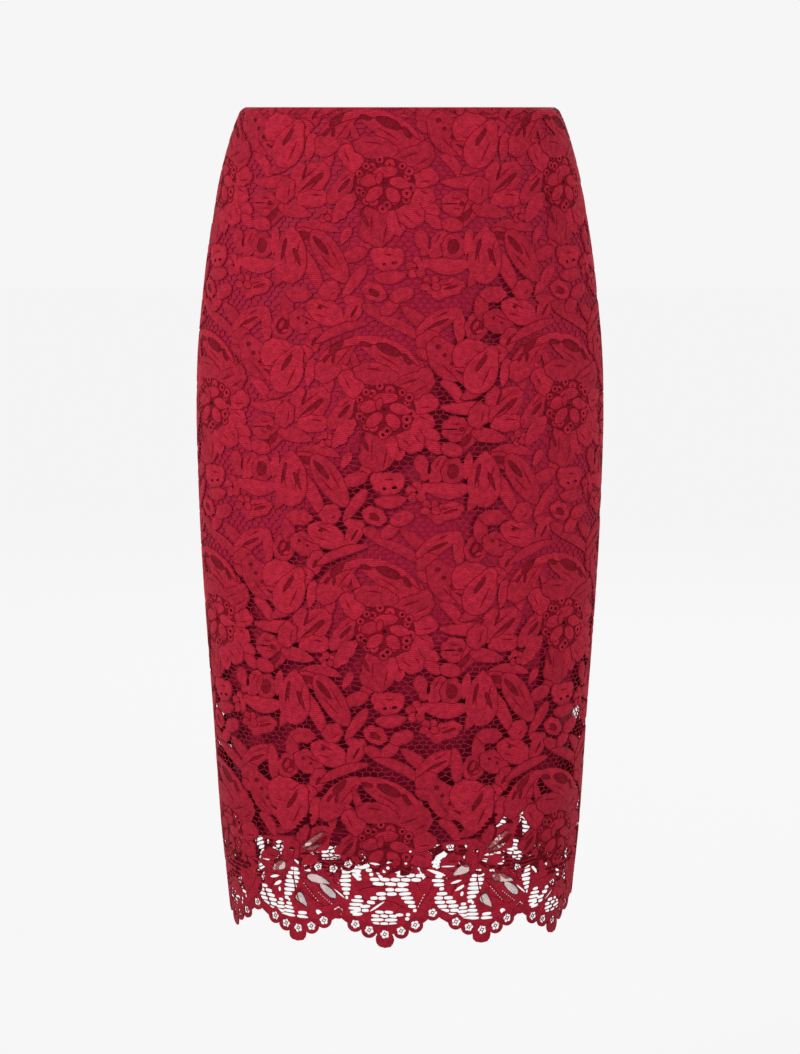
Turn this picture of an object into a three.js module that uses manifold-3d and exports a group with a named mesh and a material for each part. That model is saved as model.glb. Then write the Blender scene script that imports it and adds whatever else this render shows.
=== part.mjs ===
// A lined lace pencil skirt, filled out as it hangs when it is worn, in millimetres.
//
// +Z is up, +X is the wearer's left, and the front of the skirt faces -Y.
// The origin is the middle of the waist opening, level with its turned top edge.
//
// The skirt is cut as a lace front and two lace back halves, over a lining cut the same way.
// The back halves close on a concealed zip, whose pull tab is the only part that turns.

import * as THREE from 'three';
import { mergeVertices } from 'three/addons/utils/BufferGeometryUtils.js';
import Module from 'manifold-3d';

const wasm = await Module();
wasm.setup();

// ---------------------------------------------------------------- driving dimensions

const LACE_WALL = 1.2;
const LINING_WALL = 1.0;
const SEAM_GAP = 0.3;            // between two pieces that are sewn together

// Level sections of the lace's outer face, from the waist down. Each is two half ellipses that
// share the half width: the front one is front deep, and the back one is back deep.
const FORM = [
  { z: 0, halfWidth: 130.5, front: 80, back: 86 },
  { z: -2, halfWidth: 133.4, front: 82.6, back: 88.8 },
  { z: -8, halfWidth: 136.8, front: 86, back: 92.5 },
  { z: -20, halfWidth: 141.5, front: 88.6, back: 97 },
  { z: -36, halfWidth: 146.4, front: 91.2, back: 102 },
  { z: -56, halfWidth: 151.6, front: 94, back: 108 },
  { z: -88, halfWidth: 157.6, front: 97.6, back: 115.4 },
  { z: -121, halfWidth: 163, front: 100.2, back: 121.4 },
  { z: -155, halfWidth: 167.2, front: 102.4, back: 125.4 },
  { z: -206, halfWidth: 172, front: 104.2, back: 128 },
  { z: -257, halfWidth: 173.4, front: 104.8, back: 127 },
  { z: -308, halfWidth: 172.5, front: 104.6, back: 123.2 },
  { z: -359, halfWidth: 170.8, front: 103.8, back: 119 },
  { z: -411, halfWidth: 168, front: 102.6, back: 115 },
  { z: -463, halfWidth: 164.6, front: 101.4, back: 112 },
  { z: -515, halfWidth: 161, front: 100.4, back: 109.4 },
  { z: -568, halfWidth: 158, front: 99.4, back: 107 },
  { z: -620, halfWidth: 154.5, front: 98.4, back: 105 },
  { z: -660, halfWidth: 150.5, front: 97.6, back: 103.4 },
  { z: -700, halfWidth: 148, front: 97, back: 102.4 },
];

// Soft upright folds of the lace, by the angle that each stands at: how far it stands out (+) or
// in (-), how wide it spreads, and the height where it starts. Each is deepest at the hem.
const FOLDS = [
  { angle: -151, out: 2.4, spread: 11, top: -420 },
  { angle: -118, out: -2.2, spread: 10, top: -380 },
  { angle: -78, out: -2.0, spread: 8, top: -470 },
  { angle: -38, out: 1.8, spread: 13, top: -520 },
  { angle: -6, out: -2.6, spread: 12, top: -450 },
  { angle: 33, out: 2.2, spread: 11, top: -500 },
  { angle: 74, out: -2.4, spread: 8, top: -430 },
  { angle: 112, out: 2.0, spread: 10, top: -460 },
  { angle: 146, out: -2.4, spread: 12, top: -400 },
];

// The scalloped hem of the lace.
const HEM = { valley: -677, depth: 22, pitch: 79, firstTip: -14, backLift: 14 };

// How far the lining's outer face hangs inside the lace's outer face.
const LINING_INSET = [
  { z: 0, inset: 1.9 },
  { z: -20, inset: 2.1 },
  { z: -56, inset: 2.6 },
  { z: -121, inset: 3.8 },
  { z: -206, inset: 4.8 },
  { z: -308, inset: 6.6 },
  { z: -411, inset: 9.6 },
  { z: -515, inset: 14.5 },
  { z: -568, inset: 17.6 },
  { z: -616, inset: 21 },
];
const LINING_HEM = -616;
// An open notch in the lining's hem, over the wearer's left leg.
const NOTCH = { apexAngle: 43, rise: 29, nearFoot: 25, farFoot: 74 };

// The concealed zip, with its layers as distances in from the lace's outer face.
const ZIP = {
  top: -3, bottom: -212,
  tapeInset: LACE_WALL + SEAM_GAP, tapeWall: 0.8, tapeNear: 0.9, tapeFar: 11.5,
  coilHalfWidth: 2.1, coilWall: 1.7, coilTop: -19.4, coilBottom: -205,
  topStopNear: 1.0, topStopFar: 2.6, topStopTop: -4.2, topStopBottom: -5.6, topStopWall: 1.5,
  bottomStopHalfWidth: 2.8, bottomStopLength: 4.3, bottomStopWall: 2.2,
  liningEdge: 6.6,
};
const SLOT = { half: 1.0, lower: -20, closed: -36 };   // where the back halves part for the slider
const SLIDER_Z = -11.6;

const LACE_COLUMNS = 36;          // in a half of the skirt
const LINING_COLUMNS = 24;
const LACE_COLOUR = 0x9a1f30;
const LINING_COLOUR = 0xa51a3c;
const TAPE_COLOUR = 0x8c1a2c;
const METAL_COLOUR = 0x8a2434;

// ---------------------------------------------------------------- the form of the skirt

const radians = THREE.MathUtils.degToRad;

// Reads a column of a table at a height, in a straight line between its rows.
function readTable(table, column, z) {
  if (z >= table[0].z) return table[0][column];
  for (let row = 1; row < table.length; row += 1) {
    const upper = table[row - 1];
    const lower = table[row];
    if (z >= lower.z) {
      const part = (upper.z - z) / (upper.z - lower.z);
      return THREE.MathUtils.lerp(upper[column], lower[column], part);
    }
  }
  return table[table.length - 1][column];
}

function foldAt(angle, z) {
  let out = 0;
  for (const fold of FOLDS) {
    const growth = THREE.MathUtils.smoothstep(fold.top - z, 0, fold.top - HEM.valley);
    const away = (angle - fold.angle) / fold.spread;
    out += fold.out * growth * Math.exp(-away * away);
  }
  return out;
}

// A point on the skirt: angle in degrees is 0 at the front, 90 at the wearer's left side and
// 180 at the centre back, and inset is the distance in from the lace's outer face.
function skirtPoint(angle, z, inset) {
  const halfWidth = readTable(FORM, 'halfWidth', z);
  const depth = readTable(FORM, Math.abs(angle) < 90 ? 'front' : 'back', z);
  const sine = Math.sin(radians(angle));
  const cosine = Math.cos(radians(angle));
  const normal = new THREE.Vector2(sine / halfWidth, -cosine / depth).normalize();
  const out = foldAt(angle, z) - inset;
  return new THREE.Vector3(halfWidth * sine + normal.x * out, -depth * cosine + normal.y * out, z);
}

// The length of cloth across one degree of the section at this height.
function clothPerDegree(angle, z) {
  const halfWidth = readTable(FORM, 'halfWidth', z);
  const depth = readTable(FORM, Math.abs(angle) < 90 ? 'front' : 'back', z);
  return radians(Math.hypot(halfWidth * Math.cos(radians(angle)), depth * Math.sin(radians(angle))));
}

// Length of cloth at hem level from the centre front to an angle.
function hemArc(angle) {
  const steps = 90;
  let length = 0;
  for (let step = 0; step < steps; step += 1) {
    length += clothPerDegree(angle * (step + 0.5) / steps, HEM.valley) * Math.abs(angle) / steps;
  }
  return Math.sign(angle) * length;
}

// How far the hem is drawn up over the seat: nothing at the front, all of it at the centre back.
function lift(angle) {
  return HEM.backLift * THREE.MathUtils.smoothstep(Math.abs(angle), 40, 170);
}

// The lace's hem: rounded lobes that meet in sharp valleys.
function laceHem(angle) {
  const turns = (hemArc(angle) - HEM.firstTip) / HEM.pitch;
  const fromTip = Math.abs(turns - Math.round(turns)) * 2;
  return HEM.valley - HEM.depth * (1 - fromTip ** 1.7) + lift(angle);
}

function liningHem(angle) {
  const { apexAngle, rise, nearFoot, farFoot } = NOTCH;
  const foot = angle < apexAngle ? nearFoot : farFoot;
  const closeness = THREE.MathUtils.clamp((angle - foot) / (apexAngle - foot), 0, 1);
  return LINING_HEM + rise * closeness + lift(angle);
}

function liningInset(angle, z) {
  const overTape = THREE.MathUtils.smoothstep(Math.abs(angle), 150, 170);
  const tapeRoom = ZIP.tapeInset + ZIP.tapeWall + SEAM_GAP;
  const inset = readTable(LINING_INSET, 'inset', z);
  return Math.max(inset, THREE.MathUtils.lerp(inset, tapeRoom, overTape));
}

// Half of the opening between the two back halves of the lace.
function backSlot(z) {
  const closing = THREE.MathUtils.clamp((SLOT.lower - z) / (SLOT.lower - SLOT.closed), 0, 1);
  return THREE.MathUtils.lerp(SLOT.half, SEAM_GAP / 2, closing);
}

function liningSlot(z) {
  return z > ZIP.bottom ? ZIP.liningEdge : SEAM_GAP / 2;
}

// ---------------------------------------------------------------- cloth

// Angles from start to end that share the cloth of the hip section out evenly.
function evenAngles(start, end, columns) {
  const fine = 360;
  const hipLevel = -206;
  const lengths = [0];
  for (let step = 1; step <= fine; step += 1) {
    const angle = THREE.MathUtils.lerp(start, end, (step - 0.5) / fine);
    lengths.push(lengths[step - 1] + clothPerDegree(angle, hipLevel));
  }
  const angles = [];
  for (let column = 0; column <= columns; column += 1) {
    const wanted = lengths[fine] * column / columns;
    const step = Math.max(1, lengths.findIndex((length) => length >= wanted - 1e-9));
    const part = (wanted - lengths[step - 1]) / (lengths[step] - lengths[step - 1]);
    angles.push(THREE.MathUtils.lerp(start, end, (step - 1 + part) / fine));
  }
  return angles;
}

// A closed wall from two grids of points, outer and inner, each a list of equal rows.
// Rows run downwards and columns run towards the wearer's left, seen from the front.
function wallGeometry(outer, inner) {
  const rows = outer.length;
  const columns = outer[0].length;
  const positions = [...outer.flat(), ...inner.flat()].flatMap((point) => point.toArray());
  const outerIndex = (row, column) => row * columns + column;
  const innerIndex = (row, column) => (rows + row) * columns + column;
  const faces = [];
  const quad = (a, b, c, d) => faces.push(a, b, c, a, c, d);
  for (let row = 0; row < rows - 1; row += 1) {
    for (let column = 0; column < columns - 1; column += 1) {
      quad(outerIndex(row, column), outerIndex(row + 1, column),
        outerIndex(row + 1, column + 1), outerIndex(row, column + 1));
      quad(innerIndex(row, column), innerIndex(row, column + 1),
        innerIndex(row + 1, column + 1), innerIndex(row + 1, column));
    }
  }
  const lastRow = rows - 1;
  const lastColumn = columns - 1;
  for (let column = 0; column < lastColumn; column += 1) {
    quad(outerIndex(0, column), outerIndex(0, column + 1),
      innerIndex(0, column + 1), innerIndex(0, column));
    quad(outerIndex(lastRow, column), innerIndex(lastRow, column),
      innerIndex(lastRow, column + 1), outerIndex(lastRow, column + 1));
  }
  for (let row = 0; row < lastRow; row += 1) {
    quad(outerIndex(row, 0), innerIndex(row, 0), innerIndex(row + 1, 0), outerIndex(row + 1, 0));
    quad(outerIndex(row, lastColumn), outerIndex(row + 1, lastColumn),
      innerIndex(row + 1, lastColumn), innerIndex(row, lastColumn));
  }
  const geometry = new THREE.BufferGeometry();
  geometry.setAttribute('position', new THREE.Float32BufferAttribute(positions, 3));
  geometry.setIndex(faces);
  geometry.computeVertexNormals();
  return geometry;
}

// A panel of the skirt between two seams. Its last row follows the hem, and each edge stands off
// its seam by the distance that startGap or endGap gives for the height.
function panelGeometry({ start, end, columns, levels, hem, inset, wall, startGap, endGap }) {
  const angles = evenAngles(start, end, columns);
  const rowPoints = (levelOf, depthInside) => angles.map((angle, column) => {
    const z = levelOf(angle);
    let seamAngle = angle;
    if (column === 0) seamAngle = start + startGap(z) / clothPerDegree(start, z);
    if (column === columns) seamAngle = end - endGap(z) / clothPerDegree(end, z);
    return skirtPoint(seamAngle, z, inset(seamAngle, z) + depthInside);
  });
  const rowLevels = [...levels.map((z) => () => z), hem];
  const outer = rowLevels.map((levelOf) => rowPoints(levelOf, 0));
  const inner = rowLevels.map((levelOf) => rowPoints(levelOf, wall));
  return wallGeometry(outer, inner);
}

const cloth = (name, geometry, colour) => {
  const material = new THREE.MeshStandardMaterial({ color: colour, roughness: 0.85, metalness: 0 });
  material.name = name;
  const mesh = new THREE.Mesh(geometry, material);
  mesh.name = name;
  return mesh;
};

// ---------------------------------------------------------------- lace and lining panels

const seam = () => SEAM_GAP / 2;
const SIDE = 90;
const BACK = 180;
// The last level row is just above the highest valley of the scallops.
const lastLevel = HEM.valley + HEM.backLift + 8;
const laceLevels = [...FORM.map((row) => row.z).filter((z) => z > lastLevel + 8), lastLevel];

const lace = {
  levels: laceLevels, hem: laceHem, inset: () => 0, wall: LACE_WALL, startGap: seam, endGap: seam,
};
const laceBack = { ...lace, columns: LACE_COLUMNS / 2 };

const lining = {
  levels: [0, -20, -56, -121, ZIP.bottom, ZIP.bottom - 6, -308, -411, -515, -568],
  hem: liningHem, inset: liningInset, wall: LINING_WALL, startGap: seam, endGap: seam,
};
const liningBack = { ...lining, columns: LINING_COLUMNS / 2 };

const skirt = new THREE.Group();
skirt.add(
  cloth('lace_front', panelGeometry({ ...lace, start: -SIDE, end: SIDE, columns: LACE_COLUMNS }),
    LACE_COLOUR),
  cloth('lace_back_left', panelGeometry({ ...laceBack, start: SIDE, end: BACK, endGap: backSlot }),
    LACE_COLOUR),
  cloth('lace_back_right',
    panelGeometry({ ...laceBack, start: -BACK, end: -SIDE, startGap: backSlot }), LACE_COLOUR),
  cloth('lining_front',
    panelGeometry({ ...lining, start: -SIDE, end: SIDE, columns: LINING_COLUMNS }), LINING_COLOUR),
  cloth('lining_back_left',
    panelGeometry({ ...liningBack, start: SIDE, end: BACK, endGap: liningSlot }), LINING_COLOUR),
  cloth('lining_back_right',
    panelGeometry({ ...liningBack, start: -BACK, end: -SIDE, startGap: liningSlot }),
    LINING_COLOUR),
);

// ---------------------------------------------------------------- concealed zip

// A strip that follows the centre back, between two distances from the seam and two heights.
function backStripGeometry({ near, far, top, bottom, inset, wall, columns }) {
  const between = FORM.map((row) => row.z).filter((z) => z < top && z > bottom);
  const levels = [top, ...between, bottom];
  const gridAt = (depthInside) => levels.map((z) => {
    const line = [];
    for (let column = 0; column <= columns; column += 1) {
      const across = THREE.MathUtils.lerp(near, far, column / columns);
      line.push(skirtPoint(BACK - across / clothPerDegree(BACK, z), z, depthInside));
    }
    return line;
  });
  return wallGeometry(gridAt(inset), gridAt(inset + wall));
}

const coilInset = ZIP.tapeInset + ZIP.tapeWall + SEAM_GAP;
const tape = {
  top: ZIP.top, bottom: ZIP.bottom, inset: ZIP.tapeInset, wall: ZIP.tapeWall, columns: 2,
};
const topStop = {
  top: ZIP.topStopTop, bottom: ZIP.topStopBottom, inset: coilInset, wall: ZIP.topStopWall, columns: 1,
};
skirt.add(
  cloth('zip_tape_left', backStripGeometry({ ...tape, near: ZIP.tapeFar, far: ZIP.tapeNear }),
    TAPE_COLOUR),
  cloth('zip_tape_right', backStripGeometry({ ...tape, near: -ZIP.tapeNear, far: -ZIP.tapeFar }),
    TAPE_COLOUR),
  cloth('zip_coil', backStripGeometry({
    near: ZIP.coilHalfWidth, far: -ZIP.coilHalfWidth, top: ZIP.coilTop, bottom: ZIP.coilBottom,
    inset: coilInset, wall: ZIP.coilWall, columns: 1,
  }), TAPE_COLOUR),
  cloth('zip_top_stop_left',
    backStripGeometry({ ...topStop, near: ZIP.topStopFar, far: ZIP.topStopNear }), METAL_COLOUR),
  cloth('zip_top_stop_right',
    backStripGeometry({ ...topStop, near: -ZIP.topStopNear, far: -ZIP.topStopFar }), METAL_COLOUR),
  cloth('zip_bottom_stop', backStripGeometry({
    near: ZIP.bottomStopHalfWidth, far: -ZIP.bottomStopHalfWidth,
    top: ZIP.coilBottom - SEAM_GAP, bottom: ZIP.coilBottom - SEAM_GAP - ZIP.bottomStopLength,
    inset: coilInset, wall: ZIP.bottomStopWall, columns: 1,
  }), METAL_COLOUR),
);

// The slider is drawn upright at its own origin, which is on the lace's outer face, with +Y out
// of the skirt, and is then leant to the slope of the cloth.
const SLIDER = {
  halfLength: 5.2, bodyHalfWidth: 3.7, bodyInside: -5.6, bodyCorner: 1.6, neckHalfWidth: 0.55,
  plateInner: 0.4, plateOuter: 1.3, plateHalfWidth: 2.2, plateHalfLength: 4.3, plateCorner: 1.4,
  bailHalfWidth: 0.75, bailReach: 2.3, bailTop: 4.3, windowReach: 1.2, windowTop: 3.5,
};
const ROOTED = 0.4;               // how far a joined shape runs into its neighbour
const PIVOT = { out: 2.4, barHalf: 0.5 };
const TAB = {
  eyeHalfWidth: 1.15, eyeEnd: 3.7, shoulder: 2.3, shoulderCorner: 0.6, widest: 3.1, length: 24,
  flareStart: -9, flareEnd: -13, lean: 4.5,
};

function solidOf(geometry) {
  const bare = geometry.clone();
  bare.deleteAttribute('normal');
  bare.deleteAttribute('uv');
  const merged = mergeVertices(bare, 1e-4);
  return new wasm.Manifold(new wasm.Mesh({
    numProp: 3,
    vertProperties: new Float32Array(merged.attributes.position.array),
    triVerts: new Uint32Array(merged.index.array),
  }));
}

function geometryOf(solid) {
  const mesh = solid.getMesh();
  const geometry = new THREE.BufferGeometry();
  geometry.setAttribute('position', new THREE.BufferAttribute(mesh.vertProperties, 3));
  geometry.setIndex(new THREE.BufferAttribute(mesh.triVerts, 1));
  return geometry;
}

// A box between two levels of each axis.
function block(xHalf, yFrom, yTo, zFrom, zTo) {
  const geometry = new THREE.BoxGeometry(2 * xHalf, yTo - yFrom, zTo - zFrom);
  geometry.translate(0, (yFrom + yTo) / 2, (zFrom + zTo) / 2);
  return solidOf(geometry);
}

// A plate with a rounded outline in X and Z, between two distances out.
function roundedPlate(halfWidth, halfLength, corner, yFrom, yTo) {
  const outline = new THREE.Shape();
  const straightX = halfWidth - corner;
  const straightZ = halfLength - corner;
  outline.absarc(straightX, straightZ, corner, 0, Math.PI / 2);
  outline.absarc(-straightX, straightZ, corner, Math.PI / 2, Math.PI);
  outline.absarc(-straightX, -straightZ, corner, Math.PI, 1.5 * Math.PI);
  outline.absarc(straightX, -straightZ, corner, 1.5 * Math.PI, 2 * Math.PI);
  return standingExtrusion(outline, yFrom, yTo);
}

// Extrudes an outline drawn in X and Z along Y.
function standingExtrusion(outline, yFrom, yTo) {
  const options = { depth: yTo - yFrom, bevelEnabled: false, curveSegments: 5 };
  const geometry = new THREE.ExtrudeGeometry(outline, options);
  geometry.rotateX(Math.PI / 2);
  geometry.translate(0, yTo, 0);
  return solidOf(geometry);
}

function sliderGeometry() {
  const s = SLIDER;
  const neckReach = s.halfLength - s.bodyCorner;
  const body = roundedPlate(s.bodyHalfWidth, s.halfLength, s.bodyCorner, s.bodyInside, -coilInset);
  const neck = block(s.neckHalfWidth, -coilInset - ROOTED, s.plateInner + ROOTED, -neckReach,
    neckReach);
  const plate = roundedPlate(s.plateHalfWidth, s.plateHalfLength, s.plateCorner, s.plateInner,
    s.plateOuter);
  const arch = block(s.bailHalfWidth, s.plateOuter - ROOTED, s.bailTop, -s.bailReach, s.bailReach);
  const window = block(2 * s.bailHalfWidth, s.plateOuter, s.windowTop, -s.windowReach,
    s.windowReach);
  return geometryOf(body.add(neck).add(plate).add(arch.subtract(window)));
}

// The pull tab, drawn hanging from its bar at its own origin: a drop with an eye round the bail.
function tabGeometry() {
  const t = TAB;
  const half = PIVOT.barHalf;
  const turn = t.shoulder - t.shoulderCorner;
  const below = half - t.shoulderCorner;
  const endCentre = t.widest - t.length;
  const outline = new THREE.Shape();
  outline.moveTo(turn, half);
  outline.lineTo(-turn, half);
  outline.quadraticCurveTo(-t.shoulder, half, -t.shoulder, below);
  outline.lineTo(-t.shoulder, -t.eyeEnd);
  outline.bezierCurveTo(-t.shoulder, t.flareStart, -t.widest, t.flareEnd, -t.widest, endCentre);
  outline.absarc(0, endCentre, t.widest, Math.PI, 2 * Math.PI);
  outline.bezierCurveTo(t.widest, t.flareEnd, t.shoulder, t.flareStart, t.shoulder, -t.eyeEnd);
  outline.lineTo(t.shoulder, below);
  outline.quadraticCurveTo(t.shoulder, half, turn, half);
  const plate = standingExtrusion(outline, -half, half);
  const eye = block(t.eyeHalfWidth, -2 * half, 2 * half, -t.eyeEnd, -half);
  return geometryOf(plate.subtract(eye));
}

// The slope of the cloth at the slider, from the centre back just above it and just below it.
const SLOPE_REACH = 4;
const clothAbove = skirtPoint(BACK, SLIDER_Z + SLOPE_REACH, 0);
const clothBelow = skirtPoint(BACK, SLIDER_Z - SLOPE_REACH, 0);
const slope = Math.atan2(clothBelow.y - clothAbove.y, clothAbove.z - clothBelow.z);

const metal = (name, geometry) => {
  const material = new THREE.MeshStandardMaterial({
    color: METAL_COLOUR, roughness: 0.35, metalness: 0.4,
  });
  material.name = name;
  const mesh = new THREE.Mesh(geometry, material);
  mesh.name = name;
  return mesh;
};

const sliderPlace = new THREE.Group();
sliderPlace.position.copy(clothAbove).add(clothBelow).multiplyScalar(0.5);
sliderPlace.rotation.x = slope;
const pullTab = metal('zip_pull_tab', tabGeometry());
pullTab.position.y = PIVOT.out;
pullTab.rotation.x = -radians(TAB.lean);
sliderPlace.add(metal('zip_slider', sliderGeometry()), pullTab);
skirt.add(sliderPlace);

export default skirt;
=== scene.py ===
import math
import random

import bmesh
import bpy
import numpy as np
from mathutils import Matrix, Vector
from mathutils.geometry import delaunay_2d_cdt


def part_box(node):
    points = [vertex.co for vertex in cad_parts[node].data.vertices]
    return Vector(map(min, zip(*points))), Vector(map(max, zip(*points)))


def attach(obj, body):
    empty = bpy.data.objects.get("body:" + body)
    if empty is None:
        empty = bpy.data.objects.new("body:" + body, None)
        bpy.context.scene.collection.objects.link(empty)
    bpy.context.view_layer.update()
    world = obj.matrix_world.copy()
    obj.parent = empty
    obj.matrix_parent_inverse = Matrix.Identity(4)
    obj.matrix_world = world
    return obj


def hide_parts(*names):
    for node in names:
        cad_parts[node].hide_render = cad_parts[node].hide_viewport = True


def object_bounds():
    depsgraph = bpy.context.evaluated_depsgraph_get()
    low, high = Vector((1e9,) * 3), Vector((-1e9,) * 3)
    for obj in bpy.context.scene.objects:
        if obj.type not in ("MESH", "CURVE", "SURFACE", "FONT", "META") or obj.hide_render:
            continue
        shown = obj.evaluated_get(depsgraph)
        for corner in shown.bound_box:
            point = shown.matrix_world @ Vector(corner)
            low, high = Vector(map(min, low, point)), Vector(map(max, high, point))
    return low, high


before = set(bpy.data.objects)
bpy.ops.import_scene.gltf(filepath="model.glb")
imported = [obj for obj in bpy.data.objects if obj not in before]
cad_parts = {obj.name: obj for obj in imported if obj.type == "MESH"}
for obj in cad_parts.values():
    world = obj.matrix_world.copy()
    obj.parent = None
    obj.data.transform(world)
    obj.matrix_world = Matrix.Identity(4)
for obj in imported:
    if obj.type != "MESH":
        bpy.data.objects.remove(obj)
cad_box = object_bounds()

# ---------------------------------------------------------------------------------------------
# The camera and the studio. The skirt hangs at the height of the waist in front of a long lens
# that stands level with the waistband and is turned a little down, over a plain pale floor, in
# soft light that comes mostly from the front left.
# ---------------------------------------------------------------------------------------------
EYE_DISTANCE = 2.855             # from the side seams to the eye
EYE_DROP = 7.12                  # degrees that the view is turned down
LENS = 114.8
SIGHT = 100                      # how far the camera sees
FLOOR_BELOW_HEM = 0.25
FLOOR_REACH = 30.0
FLOOR_PAINT = (0.05, 0.05, 0.05, 1)
FLOOR_GLOW = 0.865               # the floor is lit from within, so it shows no edge
SKY_GLOW = 0.92
# the softboxes: name, place, what it faces, width, height, watts, and its grid's spread in degrees
SOFTBOXES = (
    ("key_light", (-1.35, -1.25, 0.60), (-0.11, -0.05, -0.31), 0.7, 0.7, 2.5, 48),
    ("fill_light", (1.50, -1.20, 0.45), (0.06, -0.05, -0.31), 0.7, 0.9, 1.4, 48),
    ("back_light", (0.6, 3.4, 1.6), (0, 0, -0.33), 2.2, 1.6, 58, 180),
)

scene = bpy.context.scene
scene.view_settings.view_transform = "Standard"

lens = bpy.data.cameras.new("studio_camera")
lens.lens = LENS
lens.clip_end = SIGHT
studio_camera = bpy.data.objects.new("studio_camera", lens)
studio_camera.location = (0, -EYE_DISTANCE, 0)
studio_camera.rotation_euler = (math.radians(90 - EYE_DROP), 0, 0)
scene.collection.objects.link(studio_camera)
scene.camera = studio_camera

for name, place, aim, width, height, watts, spread in SOFTBOXES:
    box = bpy.data.lights.new(name, "AREA")
    box.shape = "RECTANGLE"
    box.size, box.size_y = width, height
    box.energy = watts
    box.spread = math.radians(spread)
    lamp = bpy.data.objects.new(name, box)
    lamp.location = place
    lamp.rotation_euler = (Vector(aim) - Vector(place)).to_track_quat("-Z", "Y").to_euler()
    scene.collection.objects.link(lamp)


def feed(node, inputs):
    """Sets each input of a node to a value, or joins another node's output to it."""
    for name, value in inputs.items():
        if isinstance(value, bpy.types.NodeSocket):
            node.id_data.links.new(value, node.inputs[name])
        else:
            node.inputs[name].default_value = value


def new_material(name, colour, roughness, gloss):
    """A material and its shader, with the shader's colour, roughness and specular level."""
    material = bpy.data.materials.new(name)
    material.use_nodes = True
    shader = material.node_tree.nodes["Principled BSDF"]
    feed(shader, {"Base Color": colour, "Roughness": roughness, "Specular IOR Level": gloss})
    return material, shader


sky = bpy.data.worlds.new("studio_room")
sky.use_nodes = True
feed(sky.node_tree.nodes["Background"], {"Color": (1, 1, 1, 1), "Strength": SKY_GLOW})
scene.world = sky

bpy.ops.object.select_all(action="DESELECT")
floor_level = cad_box[0][2] - FLOOR_BELOW_HEM
bpy.ops.mesh.primitive_plane_add(size=FLOOR_REACH, location=(0, 0, floor_level))
floor = bpy.context.object
floor.name = "studio_floor"
floor_paint, floor_shader = new_material("pale_floor_paint", FLOOR_PAINT, 1.0, 0)
feed(floor_shader, {"Emission Color": (1, 1, 1, 1), "Emission Strength": FLOOR_GLOW})
floor.data.materials.append(floor_paint)

# ---------------------------------------------------------------------------------------------
# The lining. A straight underskirt of raspberry satin, cut as one front and two back panels that
# are seamed at the sides and open at the centre back for the zip. It is sewn in at the waist,
# hangs free below the hips, and an inverted V is cut into its hem at the wearer's left front.
# ---------------------------------------------------------------------------------------------
LINING_THICKNESS = 0.0006
LINING_ROWS = 96
LINING_SHARP = 50                # edges sharper than this, in degrees, are left unsmoothed
LINING_COLOUR = (0.258, 0.0052, 0.0270, 1)
LINING_TONES = (0.92, 1.06)      # its darkest and lightest shade
LINING_CLOUDS = 14               # scale of the changes of shade
SATIN_THREADS = 900              # scale of the fine bumps
CLOSE_INSET = 0.0016             # the lining lies this far inside the face of the lace
# the panels: name, from angle, to angle, columns of the mesh, and the cut's width and length
LINING_PANELS = (
    ("lining_front", -90, 90, 150, (0.42, 0.62)),
    ("lining_back_left", 90, 180, 75, (0.24, 0.62)),
    ("lining_back_right", -180, -90, 75, (0.24, 0.62)),
)
NOTCH = {"apex": 43, "rise": 0.029, "near_foot": 25, "far_foot": 74}
ZIP_SLOT = 0.0066                # the lining is cut back this far from the centre back
OVER_TAPE = 0.0009               # and lies this much deeper where it is sewn over the zip's tapes,
TAPE_SIDES = (150, 168)          # sinking between these angles
TAPE_FOOT = (0.212, 0.260)       # and rising again between these depths below the waist
# where the lining falls away from the lace: from angle and level, to angle and level, how deep
# and how far it reaches to each side; angle 0 is the centre front and 90 the wearer's left side
HOLLOWS = (
    (34, -0.150, 12, -0.250, 0.008, 0.017),
    (12, -0.250, -30, -0.385, 0.010, 0.019),
    (22, -0.225, 24, -0.345, 0.008, 0.014),
    (-52, -0.400, -34, -0.460, 0.007, 0.018),
    (118, -0.170, 150, -0.330, 0.008, 0.018),
    (-118, -0.260, -160, -0.400, 0.008, 0.018),
)
LOOSE = (0.400, 0.560)           # between these depths all of it comes clear of the lace,
LOOSE_BY = 0.0125                # by this much
MEAN_RADIUS = 0.150              # of the form, to lay out the hollows and slots
WHOLE_RING = 150                 # a level with more CAD points than this is a whole ring
# the skirt's own soft folds, down to the hem: angle, how far out, reach in degrees, and the depth
# below the waist at which each begins
FOLDS = (
    (-151, 0.0024, 11, 0.420), (-118, -0.0022, 10, 0.380), (-78, -0.0020, 8, 0.470),
    (-38, 0.0018, 13, 0.520), (-6, -0.0026, 12, 0.450), (33, 0.0022, 11, 0.500),
    (74, -0.0024, 8, 0.430), (112, 0.0020, 10, 0.460), (146, -0.0024, 12, 0.400),
)
FOLDS_FULL = 0.677               # they are at their deepest here


def level_rings(*names):
    """The level rings of CAD panels: {level: its points}."""
    rings = {}
    for point in [v.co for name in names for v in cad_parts[name].data.vertices]:
        rings.setdefault(round(point.z, 4), []).append(point)
    return {z: ring for z, ring in rings.items() if len(ring) > WHOLE_RING}


front_rings = level_rings("lace_front")
back_rings = level_rings("lace_back_left", "lace_back_right")
LEVELS = np.array(sorted(front_rings))
# the form's half width, depth to the front and depth to the back at each level
FORM = [np.array([max(p.x for p in front_rings[z]) for z in LEVELS]),
        np.array([-min(p.y for p in front_rings[z]) for z in LEVELS]),
        np.array([max(p.y for p in back_rings[z]) for z in LEVELS])]


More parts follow.
